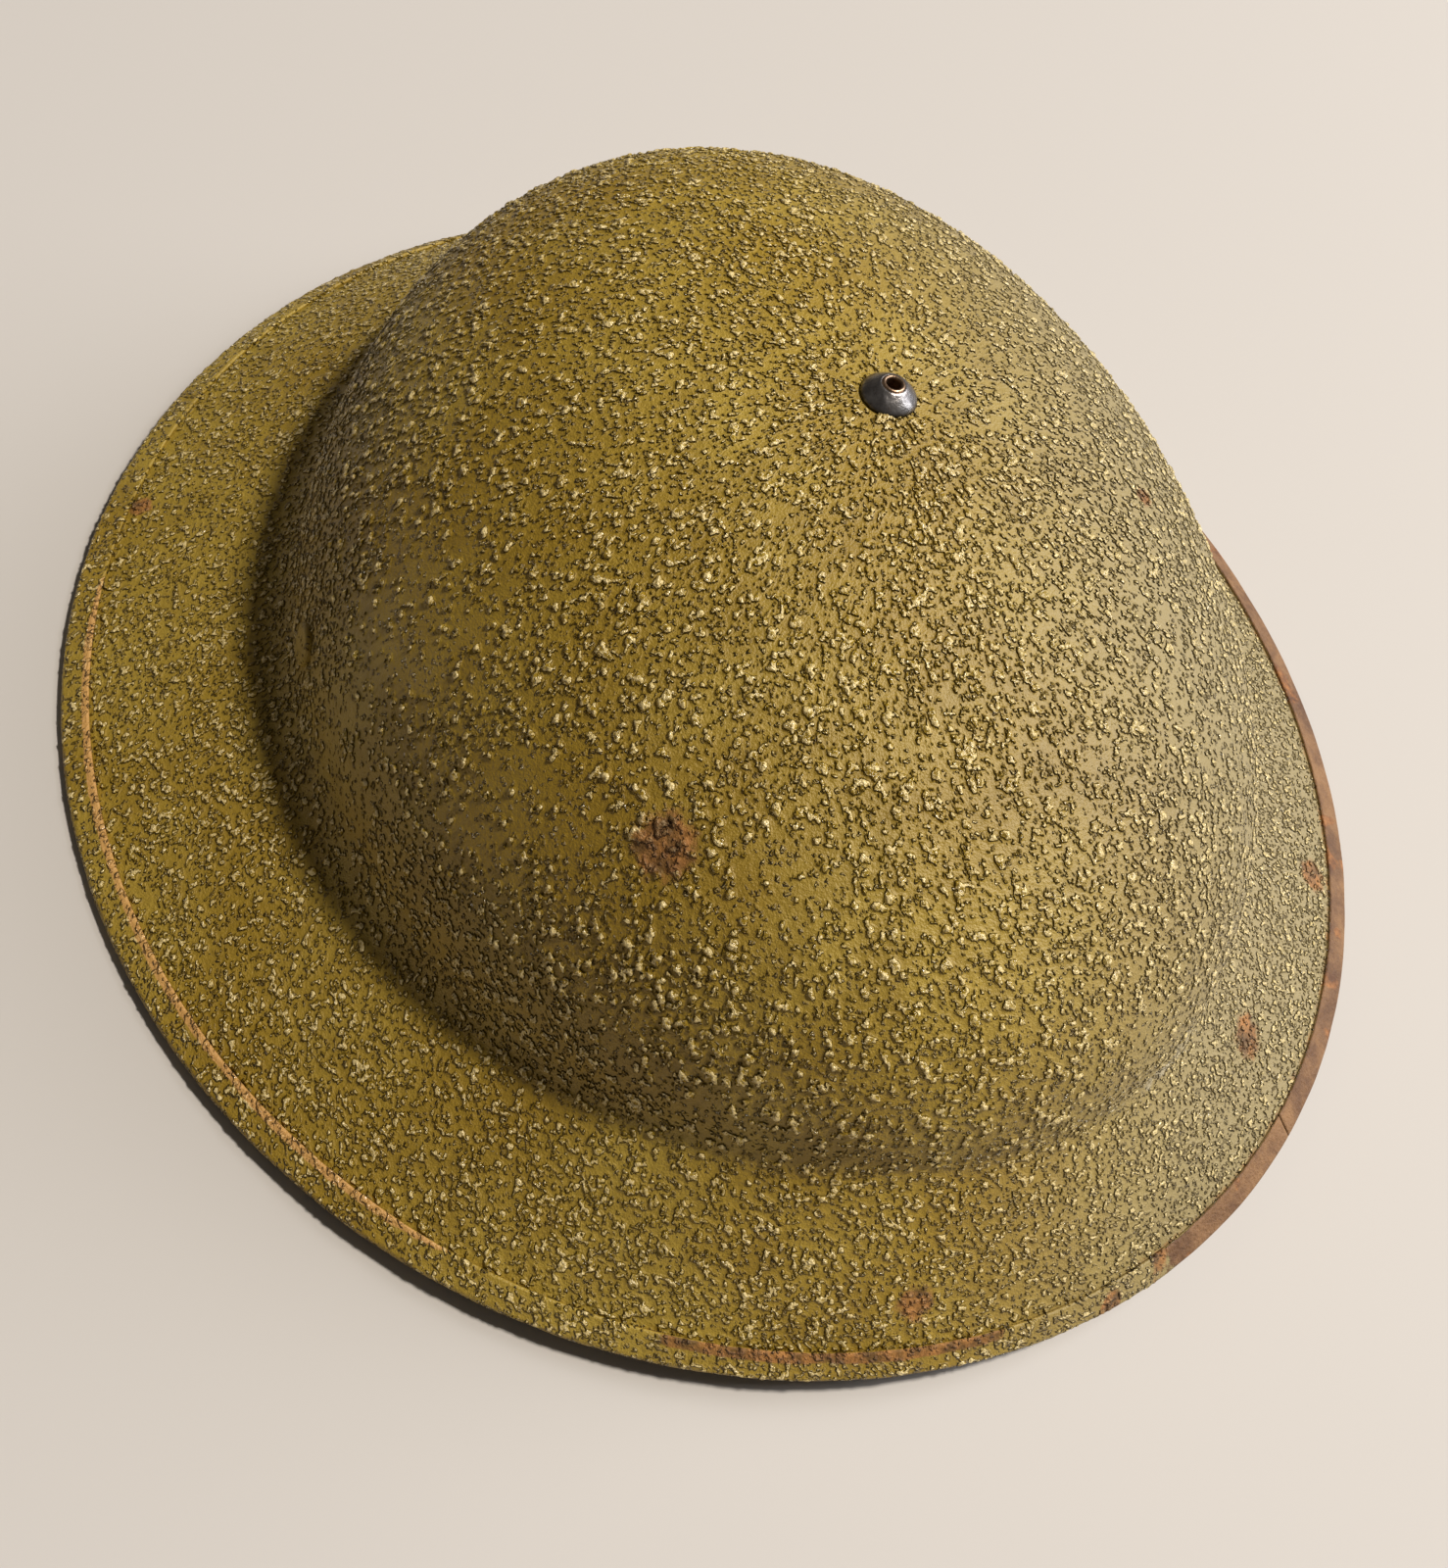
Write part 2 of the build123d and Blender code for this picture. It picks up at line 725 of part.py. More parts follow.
whole_pieces = [shell, rim_strip, crown_cap, crown_rivet, crown_washer, crown_felt, crown_patch]
whole_pieces += [liner_cradle, head_band, string_net, draw_lace, buffer_tape, buckle, keeper]
pieces = [builder.part for builder in whole_pieces] + buffer_parts + side_parts
pieces += [strap_short, strap_long, strap_rivet_left, strap_rivet_right]
for piece in pieces:
    export_step(piece, f"parts/{piece.label}.step")
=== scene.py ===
"""The looks of a steel trench helmet: sandy olive paint, worn rim, liner and leather chin strap.

Lengths are in millimetres where they are worked out, and in metres in Blender. +X is the wearer's
left, -Y the front, +Z up.
"""

from math import asin, atan2, cos, pi, radians, sin, sqrt, tan

import bmesh
import bpy
import numpy as np
from mathutils import Matrix, Vector


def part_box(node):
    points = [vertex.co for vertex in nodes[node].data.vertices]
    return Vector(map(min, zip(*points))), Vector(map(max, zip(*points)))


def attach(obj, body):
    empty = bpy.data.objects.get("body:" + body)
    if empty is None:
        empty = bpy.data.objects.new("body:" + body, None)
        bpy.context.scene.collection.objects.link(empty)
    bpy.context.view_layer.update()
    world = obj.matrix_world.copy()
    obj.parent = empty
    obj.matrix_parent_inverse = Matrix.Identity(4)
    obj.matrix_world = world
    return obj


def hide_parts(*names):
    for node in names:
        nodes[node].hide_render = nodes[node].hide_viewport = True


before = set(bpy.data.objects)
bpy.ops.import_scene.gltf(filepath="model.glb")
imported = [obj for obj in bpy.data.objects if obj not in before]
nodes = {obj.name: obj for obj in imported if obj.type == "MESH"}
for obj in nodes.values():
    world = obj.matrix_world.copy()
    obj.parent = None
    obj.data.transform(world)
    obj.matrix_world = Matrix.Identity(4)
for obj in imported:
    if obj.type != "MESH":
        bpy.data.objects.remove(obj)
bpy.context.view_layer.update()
MM = 0.001

# Shell, the same sizes as the solid's
rim_length, rim_width = 311.0, 298.0
bowl_length, bowl_width, bowl_setback = 248.0, 205.0, 4.0
bowl_rise, crease_height, crease_end_rise, brim_end_rise = 86.0, 18.4, 20.0, 4.9
crease_radius, sheet = 12.0, 0.9
strip_sheet, strip_gap, strip_band = 0.7, 0.05, 6.35
strip_joint_gap, strip_joint_turn = 0.5, 127.5

nose_radius = sheet / 2 + strip_gap + strip_sheet
strip_inside = sheet / 2 + strip_gap
strip_leg = strip_band - nose_radius
bowl_long, bowl_wide = (bowl_length - sheet) / 2, (bowl_width - sheet) / 2
edge_long, edge_wide = rim_length / 2 - nose_radius, rim_width / 2 - nose_radius
crown_height = nose_radius + crease_height + bowl_rise - sheet / 2
crown_outside = crown_height + sheet / 2
crown_inside = crown_height - sheet / 2

# Crown rivet
tube_radius, tube_bore, roll_radius, roll_height = 2.0, 1.4, 2.3, 0.7
cap_radius, cap_height, cap_sheet, cap_top_radius = 5.5, 3.1, 0.6, 2.6
# The last number on the next line is how high the cap's base is painted near black, as painted shade and
# dark reflection.
cap_lip, cap_curve, cap_hollow, cap_neck, cap_shade_height = 0.3, 0.75, 2.4, 2.9, 1.1
felt_radius, felt_thickness, patch_radius, patch_thickness = 25.0, 2.4, 18.0, 1.6
crown_fit = 0.1

# Liner
band_side_room, band_end_room, band_thickness, band_bottom, band_height = 22.5, 22.0, 1.6, 22.0, 32.0
cradle_cloth, cradle_drop, cradle_lap, cradle_strap_width, cradle_disc_radius = 1.2, 3.2, 12.0, 22.0, 27.0
soft_gap, net_rise, net_lap, net_opening = 0.2, 30.0, 10.0, 26.0
lace_radius = 1.3
buffers, buffer_radius, buffer_bore, buffer_length = 12, 5.5, 3.0, 22.0
buffer_height, buffer_gap, end_round, bore_round = 45.0, 0.3, 0.4, 0.3
tape_thickness, tape_height, tape_slack = 0.8, 8.0, 0.6
band_top = band_bottom + band_height
band_wide, band_long = bowl_width / 2 - band_side_room, bowl_length / 2 - band_end_room
cradle_wide = band_wide + soft_gap + cradle_cloth
cradle_long = band_long + soft_gap + cradle_cloth
cradle_rise = crown_inside - cradle_drop - band_top

# Chin strap, in its own plane through both lug rivets
pivot_height, strap_width, strap_thickness, strap_end_room = 33.0, 14.0, 2.0, 21.5
strap_corner, strap_bend_share, strap_table_gap, strap_layer_gap = 69.0, 0.81, 2.2, 0.3
eye_radius, eye_tail, eye_tail_join, short_end, long_end = 3.7, 25.0, 11.0, 18.0, 36.0
low_bar = (86.055, 27.0)
keeper_length, keeper_sheet, keeper_place, sleeve_gap = 5.0, 1.4, 16.0, 0.3
crease_inset, crease_width, crease_depth, tip_length = 1.7, 0.35, 0.14, 6.5
strap_reach, strap_corner_radius = rim_length / 2 - strap_end_room, strap_bend_share * strap_corner
strap_tilt = asin((pivot_height - strap_width / 2 - strap_table_gap) / strap_reach)

# Camera, found by fitting the shell's outline, crease and crown rivet to the photograph
camera_place = (0.14032, 0.21403, 0.3267)
camera_right = (-0.94226, 0.23895, 0.23463)
camera_up = (-0.08158, -0.8433, 0.53122)
camera_back = (0.3248, 0.48141, 0.8141)
camera_lens = 40.92


# Random patterns over points in space
crumb_shift, crumb_least, crumb_most, spot_reach = 0.8, 0.22, 0.6, 1.3


def hashed(cells, seed):
    """A number from 0 to 1 for each whole-numbered cell."""
    x, y, z = (cells[..., axis].astype(np.uint32) for axis in range(3))
    mixed = x * np.uint32(374761393) + y * np.uint32(668265263) + z * np.uint32(2246822519)
    mixed = mixed + np.uint32(seed * 977)
    mixed = (mixed ^ (mixed >> 13)) * np.uint32(1274126177)
    mixed = (mixed ^ (mixed >> 16)) * np.uint32(2654435761)
    return ((mixed >> 8) & 0xFFFF) / 0xFFFF


def clouds(points, size, seed):
    """Smooth random numbers from 0 to 1, in lumps of a size."""
    scaled = points / size
    cell = np.floor(scaled).astype(np.int64)
    part = scaled - cell
    part = part * part * (3 - 2 * part)
    total = 0
    for corner in np.ndindex(2, 2, 2):
        weight = np.prod(np.where(corner, part, 1 - part), axis=-1)
        total = total + weight * hashed(cell + corner, seed)
    return total


def crumbs(points, size, share, seed):
    """Height from 0 to 1 of rough crumbs scattered over the points; share is how many cells hold one."""
    shift = np.stack([clouds(points, size / 2, seed + 10 + axis) for axis in range(3)], axis=-1)
    scaled = points / size + (shift - 0.5) * crumb_shift
    cell = np.floor(scaled).astype(np.int64)
    height = np.zeros(points.shape[:-1])
    for step in np.ndindex(3, 3, 3):
        near = cell + step - 1
        place = near + np.stack([hashed(near, seed + axis) for axis in range(3)], axis=-1)
        radius = crumb_least + (crumb_most - crumb_least) * hashed(near, seed + 3)
        away = np.sum((scaled - place) ** 2, axis=-1) / radius**2
        kept = hashed(near, seed + 4) < share
        height = np.maximum(height, kept * np.sqrt(np.clip(1 - away, 0, 1)) * radius / crumb_most)
    return height


def fade(value, low, high):
    """From 0 at low to 1 at high, smoothly."""
    part = np.clip((value - low) / (high - low), 0, 1)
    return part * part * (3 - 2 * part)


def window(value, low, high, soft):
    """1 between low and high, falling to 0 over the soft width outside them."""
    return fade(value, low - soft, low) * (1 - fade(value, high, high + soft))


def spots(points, marks):
    """How near the points are to any of the marks, each a place and a radius: 1 at its middle."""
    near = np.zeros(points.shape[:-1])
    for x, y, z, radius in marks:
        away = np.linalg.norm(points - np.array((x, y, z)), axis=-1)
        near = np.maximum(near, np.clip(spot_reach - away / radius, 0, 1))
    return near


# Lines and grids
def unit(vectors):
    """The vectors at a length of 1."""
    return vectors / np.maximum(np.linalg.norm(vectors, axis=-1, keepdims=True), 1e-9)


def run_marks(line):
    """How far along the line each of its points lies."""
    return np.concatenate([[0], np.cumsum(np.linalg.norm(np.diff(line, axis=0), axis=-1))])


def even_line(line, step):
    """The same line with points a step apart, and how far along it each one lies."""
    marks = run_marks(line)
    wanted = np.linspace(0, marks[-1], int(marks[-1] / step) + 1)
    places = [np.interp(wanted, marks, line[:, axis]) for axis in range(line.shape[1])]
    return np.stack(places, axis=-1), wanted


def arc_points(radius, first, last, count):
    """Points of an arc between two angles in degrees."""
    angles = np.radians(np.linspace(first, last, count))
    return np.stack([radius * np.cos(angles), radius * np.sin(angles)], axis=-1)


def full_turn(count):
    """Angles all the way round, the last one short of the first."""
    return 2 * pi * np.arange(count) / count


def oval_place(turn, wide, long, z):
    """Points of a level oval round the bowl's axis."""
    places = (wide * np.cos(turn), bowl_setback + long * np.sin(turn), z)
    return np.stack(np.broadcast_arrays(*places), axis=-1)


def round_place(reach, turn, z):
    """Points at a distance from the bowl's axis."""
    return oval_place(turn, reach, reach, z)


# Meshes
def finish_object(name, mesh, material):
    mesh.polygons.foreach_set("use_smooth", np.full(len(mesh.polygons), True))
    mesh.materials.append(material)
    made = bpy.data.objects.new(name, mesh)
    bpy.context.scene.collection.objects.link(made)
    return made


def grid_faces(rows, columns, wrap_rows, wrap_columns, start=0):
    """Faces between neighbours in a grid of points, rows by columns."""
    index = start + np.arange(rows * columns).reshape(rows, columns)
    if wrap_rows:
        index = np.vstack([index, index[:1]])
    if wrap_columns:
        index = np.hstack([index, index[:, :1]])
    corners = (index[:-1, :-1], index[1:, :-1], index[1:, 1:], index[:-1, 1:])
    return np.stack([corner.ravel() for corner in corners], axis=-1)


def grid_object(name, grids, material, attributes=None):
    """One object from grids of points in millimetres, each with whether its rows and columns wrap."""
    points, faces, start = [], [], 0
    for grid, wrap_rows, wrap_columns in grids:
        faces.append(grid_faces(grid.shape[0], grid.shape[1], wrap_rows, wrap_columns, start))
        points.append(grid.reshape(-1, 3))
        start += grid.shape[0] * grid.shape[1]
    mesh = bpy.data.meshes.new(name)
    mesh.from_pydata((np.vstack(points) * MM).tolist(), [], np.vstack(faces).tolist())
    for attribute, values in (attributes or {}).items():
        layer = mesh.attributes.new(attribute, "FLOAT", "POINT")
        flat = np.concatenate([np.ravel(value) for value in values]).astype(np.float32)
        layer.data.foreach_set("value", flat)
    return finish_object(name, mesh, material)


def grid_normals(grid, wrap_rows, wrap_columns):
    """Unit normals of a grid of points."""

    def slope(axis, wrap):
        if wrap:
            return np.roll(grid, -1, axis) - np.roll(grid, 1, axis)
        return np.gradient(grid, axis=axis)

    return unit(np.cross(slope(0, wrap_rows), slope(1, wrap_columns)))


def tubes(name, lines, radius, material, closed=False, sides=2):
    """One object of round strings, each through its points in millimetres."""
    curve = bpy.data.curves.new(name, "CURVE")
    curve.dimensions = "3D"
    curve.bevel_depth = radius * MM
    curve.bevel_resolution = sides
    curve.use_fill_caps = True
    curve.resolution_u = 3
    for line in lines:
        spline = curve.splines.new("NURBS")
        spline.points.add(len(line) - 1)
        for point, place in zip(spline.points, line):
            point.co = (*(value * MM for value in place), 1)
        spline.order_u = 3
        spline.use_cyclic_u = closed
        spline.use_endpoint_u = not closed
    holder = bpy.data.objects.new(name + ".line", curve)
    mesh = bpy.data.meshes.new_from_object(holder)
    bpy.data.objects.remove(holder)
    mesh.name = name
    mesh.materials.clear()
    return finish_object(name, mesh, material)


def settle(made, replaced, body="helmet"):
    """Lets a finished piece ride on its body, in place of the solids it stands for."""
    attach(made, body)
    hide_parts(*replaced)


def close_ends(made):
    """Fills the open ends of a swept piece and turns all its faces outward."""
    shape = bmesh.new()
    shape.from_mesh(made.data)
    bmesh.ops.holes_fill(shape, edges=[edge for edge in shape.edges if edge.is_boundary])
    bmesh.ops.recalc_face_normals(shape, faces=shape.faces)
    shape.to_mesh(made.data)
    shape.free()
    return made


# Node materials. Patterns are scaled per metre, so a scale of 1000 gives grains of about a millimetre
def rgb(red, green, blue):
    return (red, green, blue, 1.0)


olive_dark, olive_light = rgb(0.32, 0.192, 0.01), rgb(0.42, 0.28, 0.034)
# The last colour on the next line is a greyer, bluer tint painted on the -X side as the sheen of the
# window lamp.
olive_blotch, olive_sheen = rgb(0.245, 0.145, 0.008), rgb(0.325, 0.25, 0.11)
# The first colour on the next line darkens the base of each crumb, partly dirt and partly painted shade.
# The second colour on the next line is a painted highlight, the glint on the crumbs' tops.
crumb_dirt_and_shade, crumb_glint = rgb(0.07, 0.036, 0.005), rgb(0.85, 0.66, 0.3)
rust_dark, rust_light = rgb(0.1, 0.034, 0.008), rgb(0.44, 0.17, 0.04)
bare_dark, bare_light = rgb(0.12, 0.05, 0.016), rgb(0.3, 0.15, 0.055)
shell_worn, rim_worn = rgb(0.5, 0.43, 0.29), rgb(0.72, 0.37, 0.12)
# The second colour on the next line is the near black of painted shade at the base of a metal piece.
metal_rust, metal_base_shade = rgb(0.14, 0.06, 0.025), rgb(0.01, 0.009, 0.008)
leather_crack, rubber_crack = rgb(0.035, 0.018, 0.008), rgb(0.015, 0.012, 0.01)
cloth_crack = rgb(0.1, 0.085, 0.06)
# Where along X the painted sheen is full and where it is gone, and its strongest share.
sheen_full, sheen_none, sheen_most = -0.07, 0.015, 0.95


def new_material(name, **shared):
    """A material, its node tree and its object's coordinates; shared values go onto the shader."""
    material = bpy.data.materials.new(name)
    material.use_nodes = True
    shader = material.node_tree.nodes["Principled BSDF"]
    for socket, value in shared.items():
        shader.inputs[socket.replace("_", " ")].default_value = value
    place = node(material.node_tree, "TexCoord").outputs["Object"]
    return material, material.node_tree, place


def node(tree, kind, settings=(), **inputs):
    """A node with its settings made and its inputs set or linked, by name or by number."""
    made = tree.nodes.new("ShaderNode" + kind)
    for setting, value in dict(settings).items():
        setattr(made, setting, value)
    for name, value in inputs.items():
        socket = made.inputs[int(name[1:])] if name[1:].isdigit() else made.inputs[name.replace("_", " ")]
        if isinstance(value, bpy.types.NodeSocket):
            tree.links.new(value, socket)
        else:
            socket.default_value = value
    return made


def math_node(tree, operation, *values):
    inputs = {f"i{place}": value for place, value in enumerate(values)}
    return node(tree, "Math", {"operation": operation}, **inputs).outputs[0]


def ranged(tree, value, low, high, to_low=0.0, to_high=1.0):
    """The value led smoothly from one range to another."""
    limits = {"From_Min": low, "From_Max": high, "To_Min": to_low, "To_Max": to_high}
    return node(tree, "MapRange", {"interpolation_type": "SMOOTHSTEP"}, Value=value, **limits).outputs[0]


def mixed(tree, factor, first, second):
    return node(tree, "Mix", {"data_type": "RGBA"}, i0=factor, i6=first, i7=second).outputs[2]


def toned(tree, pattern, dark, light, low=0.3, high=0.7):
    """Two tones of a colour, parted by a pattern."""
    return mixed(tree, ranged(tree, pattern, low, high), dark, light)


def noise(tree, place, scale, detail=2.0, roughness=0.5, distortion=0.0):
    form = {"Scale": scale, "Detail": detail, "Roughness": roughness, "Distortion": distortion}
    return node(tree, "TexNoise", Vector=place, **form).outputs["Fac"]


def attribute(tree, name):
    return node(tree, "Attribute", {"attribute_name": name}).outputs["Fac"]


def dressed(material, height, distance, **linked):
    """The material with a bump linked to its shader, and whatever else is named."""
    tree = material.node_tree
    linked["Normal"] = node(tree, "Bump", Height=height, Distance=distance).outputs["Normal"]
    for socket, value in linked.items():
        tree.links.new(value, tree.nodes["Principled BSDF"].inputs[socket.replace("_", " ")])
    return material


def chips(tree, place, scale, share):
    """Height from 0 to 1 of small chips, from cells of which a share hold one."""
    bend = node(tree, "TexNoise", Vector=place, Scale=scale * 1.7, Detail=1.0).outputs["Color"]
    bend = node(tree, "VectorMath", {"operation": "SCALE"}, i0=bend, Scale=0.9 / scale).outputs[0]
    moved = node(tree, "VectorMath", {"operation": "ADD"}, i0=place, i1=bend).outputs[0]
    cells = node(tree, "TexVoronoi", Vector=moved, Scale=scale)
    parted = node(tree, "SeparateColor", Color=cells.outputs["Color"])
    kept = math_node(tree, "LESS_THAN", parted.outputs[0], share)
    size = math_node(tree, "MULTIPLY_ADD", parted.outputs[1], 0.3, 0.25)
    height = math_node(tree, "SUBTRACT", 1.0, math_node(tree, "DIVIDE", cells.outputs["Distance"], size))
    return math_node(tree, "MULTIPLY", ranged(tree, height, 0.0, 0.75), kept)


def cracked(tree, place, scale, width):
    """0 in the cracks between cells, 1 away from them."""
    cells = node(tree, "TexVoronoi", {"feature": "DISTANCE_TO_EDGE"}, Vector=place, Scale=scale)
    return ranged(tree, cells.outputs["Distance"], 0.0, width)


def paint_layers(tree, place, clump, chip_share):
    """Colour, roughness and height of sandy olive paint, whose crumbs lie where clump is high."""
    broad = noise(tree, place, 22.0, 3.0)
    middle = noise(tree, place, 120.0, 3.0, 0.6)
    grit = noise(tree, place, 1100.0, 2.0, 0.6)
    fine = noise(tree, place, 2600.0, 2.0)
    small = chips(tree, place, 760.0, chip_share)
    ragged = math_node(tree, "MULTIPLY_ADD", grit, 0.4, math_node(tree, "ADD", clump, -0.2))
    crumb = math_node(tree, "MAXIMUM", ranged(tree, ragged, 0.08, 0.4), small)
    colour = toned(tree, broad, olive_dark, olive_light)
    colour = mixed(tree, ranged(tree, middle, 0.35, 0.75, 0.0, 0.5), colour, olive_blotch)
    # Painted reflection: the -X side, which faces the window lamp, is tinted greyer and bluer as the
    # lamp's sheen.
    across = node(tree, "SeparateXYZ", Vector=place).outputs["X"]
    painted_sheen = ranged(tree, across, sheen_full, sheen_none, sheen_most, 0.0)
    colour = mixed(tree, painted_sheen, colour, olive_sheen)
    # Painted shade: the ring round each crumb's base is darkened, partly as dirt and partly as the shade
    # that falls there.
    shaded_base = math_node(tree, "MULTIPLY", crumb, math_node(tree, "SUBTRACT", 1.0, crumb))
    colour = mixed(tree, math_node(tree, "MULTIPLY", shaded_base, 2.2), colour, crumb_dirt_and_shade)
    # Painted highlight: the tops of the crumbs are lit to a pale gold, as painted glints.
    top = ranged(tree, math_node(tree, "MULTIPLY", crumb, grit), 0.42, 0.6, 0.0, 0.9)
    colour = mixed(tree, top, colour, crumb_glint)
    roughness = ranged(tree, crumb, 0.2, 0.9, 0.52, 0.17)
    height = math_node(tree, "MULTIPLY_ADD", crumb, grit, crumb)
    for pattern, share in ((fine, 0.3), (grit, 0.35)):
        height = math_node(tree, "MULTIPLY_ADD", pattern, share, height)
    return colour, roughness, height


def ragged_mark(tree, ragged, name, spread, sunk, soft, most=1.0):
    """The mesh's own mark of a name with a ragged edge, soft over a width and at most so strong."""
    mark = math_node(tree, "ADD", attribute(tree, name), -sunk)
    mark = math_node(tree, "MULTIPLY_ADD", ragged, spread, mark)
    return ranged(tree, mark, 0.0, soft, 0.0, most)


def painted(name, chip_share, worn):
    """Paint that gives way to rust and to a worn colour where the mesh's own marks say so."""
    material, tree, place = new_material(name, Specular_IOR_Level=0.55)
    colour, roughness, height = paint_layers(tree, place, attribute(tree, "clump"), chip_share)
    rust = toned(tree, noise(tree, place, 260.0, 4.0, 0.65), rust_dark, rust_light, 0.35, 0.65)
    metal = toned(tree, noise(tree, place, 90.0, 4.0, 0.7), bare_dark, bare_light)
    ragged = noise(tree, place, 380.0, 4.0, 0.7)
    wear = ragged_mark(tree, ragged, "wear", 0.9, 0.9, 0.25, 0.7)
    bare = ragged_mark(tree, ragged, "bare", 0.8, 0.9, 0.15)
    stain = ragged_mark(tree, ragged, "rust", 0.9, 0.85, 0.35, 0.8)
    for share, layer in ((wear, worn), (bare, metal), (stain, rust)):
        colour = mixed(tree, share, colour, layer)
    for share, dull in ((stain, 0.8), (bare, 0.68)):
        roughness = mixed(tree, share, roughness, rgb(dull, dull, dull))
    height = mixed(tree, bare, height, noise(tree, place, 900.0, 3.0, 0.7))
    return dressed(material, height, 0.0006, Base_Color=colour, Roughness=roughness)


def worn_metal(name, dark, light, roughness, scale=220.0, rust_share=0.3, shaded_base=None):
    """Old metal with tarnish, specks of rust and fine scratches; painted shade darkens it near the bottom,
    below given heights.
    """
    material, tree, place = new_material(name, Metallic=1.0)
    tarnish = noise(tree, place, scale, 5.0, 0.65)
    colour = toned(tree, tarnish, dark, light, 0.35, 0.65)
    specks = ranged(tree, noise(tree, place, scale * 3, 3.0, 0.6), 0.62, 0.7, 0.0, rust_share)
    colour = mixed(tree, specks, colour, metal_rust)
    # Painted shade: below the given heights the metal turns near black, as shadow and the dark reflection
    # of the paint round it.
    if shaded_base:
        height = node(tree, "SeparateXYZ", Vector=place).outputs["Z"]
        colour = mixed(tree, ranged(tree, height, *shaded_base), metal_base_shade, colour)
    rough = ranged(tree, tarnish, 0.3, 0.7, roughness + 0.15, roughness - 0.05)
    scratches = noise(tree, place, scale * 6, 3.0, 0.6)
    return dressed(material, scratches, 0.00008, Base_Color=colour, Roughness=rough)


def leather(name, dark, light):
    """Old leather with a pebbled grain and cracks."""
    material, tree, place = new_material(name)
    broad = noise(tree, place, 60.0, 4.0, 0.6)
    pebbles = node(tree, "TexVoronoi", Vector=place, Scale=1100.0).outputs["Distance"]
    crack = cracked(tree, place, 240.0, 0.06)
    colour = mixed(tree, crack, leather_crack, toned(tree, broad, dark, light))
    rough = ranged(tree, broad, 0.3, 0.7, 0.7, 0.5)
    height = math_node(tree, "MULTIPLY_ADD", crack, 0.8, pebbles)
    return dressed(material, height, 0.00015, Base_Color=colour, Roughness=rough)


def weave_height(tree, place, scale):
    """A plain weave over any surface, from three sets of bands."""
    bands = []
    for direction in ("X", "Y", "Z"):
        form = {"bands_direction": direction}
        wave = node(tree, "TexWave", form, Vector=place, Scale=scale / 6.28, Distortion=0.6, Detail=1.0)
        bands.append(wave.outputs["Fac"])
    return math_node(tree, "MULTIPLY", math_node(tree, "MAXIMUM", bands[0], bands[1]), bands[2])


def oilcloth(name, skin, cloth_shown):
    """Oilcloth: a cracked, slightly shiny skin on a cloth that shows where it is worn."""
    material, tree, place = new_material(name)
    wear = noise(tree, place, 90.0, 5.0, 0.7)
    crack = cracked(tree, place, 330.0, 0.05)
    colour = mixed(tree, crack, cloth_crack, toned(tree, wear, skin, cloth_shown, 0.58, 0.72))
    rough = ranged(tree, wear, 0.5, 0.75, 0.36, 0.8)
    height = math_node(tree, "MULTIPLY_ADD", weave_height(tree, place, 1300.0), 0.25, crack)
    return dressed(material, height, 0.00012, Base_Color=colour, Roughness=rough)


def cloth(name, dark, light, scale, fuzz):
    """Woven or felted cotton and wool, with sheen and fibres."""
    material, tree, place = new_material(name, Roughness=0.9, Sheen_Weight=fuzz, Sheen_Roughness=0.5)
    fibres = noise(tree, place, scale, 3.0, 0.7, 1.5)
    colour = toned(tree, noise(tree, place, 45.0, 4.0, 0.6), dark, light)
    # Painted shade: the colour is darkened between the fibres.
    between = rgb(*(value * 0.4 for value in dark[:3]))
    colour = mixed(tree, ranged(tree, fibres, 0.35, 0.6, 0.45, 0.0), colour, between)
    height = math_node(tree, "MULTIPLY_ADD", weave_height(tree, place, scale), 0.6, fibres)
    return dressed(material, height, 0.0003, Base_Color=colour)


def old_rubber(name, dark, light):
    """Aged rubber, greyed and crazed."""
    material, tree, place = new_material(name)
    bloom = noise(tree, place, 150.0, 4.0, 0.6)
    crack = cracked(tree, place, 620.0, 0.08)
    colour = mixed(tree, crack, rubber_crack, toned(tree, bloom, dark, light, 0.35, 0.7))
    rough = ranged(tree, bloom, 0.3, 0.7, 0.75, 0.6)
    height = math_node(tree, "MULTIPLY_ADD", bloom, 0.5, crack)
    return dressed(material, height, 0.00015, Base_Color=colour, Roughness=rough)


shell_paint = painted("shell_paint", 0.68, shell_worn)
rim_paint = painted("rim_paint", 0.68, rim_worn)
lug_paint = painted("lug_paint", 0.85, shell_worn)
# The cap's lowest heights are painted near black, as painted shadow and the reflection of the dark paint.
cap_shade_heights = (crown_outside * MM, (crown_outside + cap_shade_height) * MM)
cap_metal = worn_metal("cap_metal", rgb(0.17, 0.155, 0.15), rgb(0.48, 0.44, 0.41), 0.3, shaded_base=cap_shade_heights)
tube_metal = worn_metal("tube_metal", rgb(0.2, 0.13, 0.08), rgb(0.6, 0.38, 0.24), 0.3)
wire_metal = worn_metal("wire_metal", rgb(0.14, 0.12, 0.1), rgb(0.36, 0.33, 0.29), 0.4)
brass = worn_metal("brass", rgb(0.2, 0.13, 0.045), rgb(0.5, 0.37, 0.16), 0.32, 160.0, 0.2)
strap_leather = leather("strap_leather", rgb(0.11, 0.05, 0.02), rgb(0.25, 0.13, 0.06))
patch_leather = leather("patch_leather", rgb(0.1, 0.05, 0.025), rgb(0.2, 0.115, 0.06))
black_oilcloth = oilcloth("black_oilcloth", rgb(0.022, 0.02, 0.018), rgb(0.12, 0.1, 0.075))
felt_wool = cloth("felt_wool", rgb(0.2, 0.18, 0.145), rgb(0.33, 0.3, 0.245), 1400.0, 0.5)
cotton_twine = cloth("cotton_twine", rgb(0.32, 0.25, 0.15), rgb(0.52, 0.43, 0.28), 2600.0, 0.3)
cotton_lace = cloth("cotton_lace", rgb(0.28, 0.22, 0.13), rgb(0.44, 0.36, 0.23), 2600.0, 0.3)
cotton_tape = cloth("cotton_tape", rgb(0.2, 0.17, 0.1), rgb(0.32, 0.275, 0.17), 1900.0, 0.3)
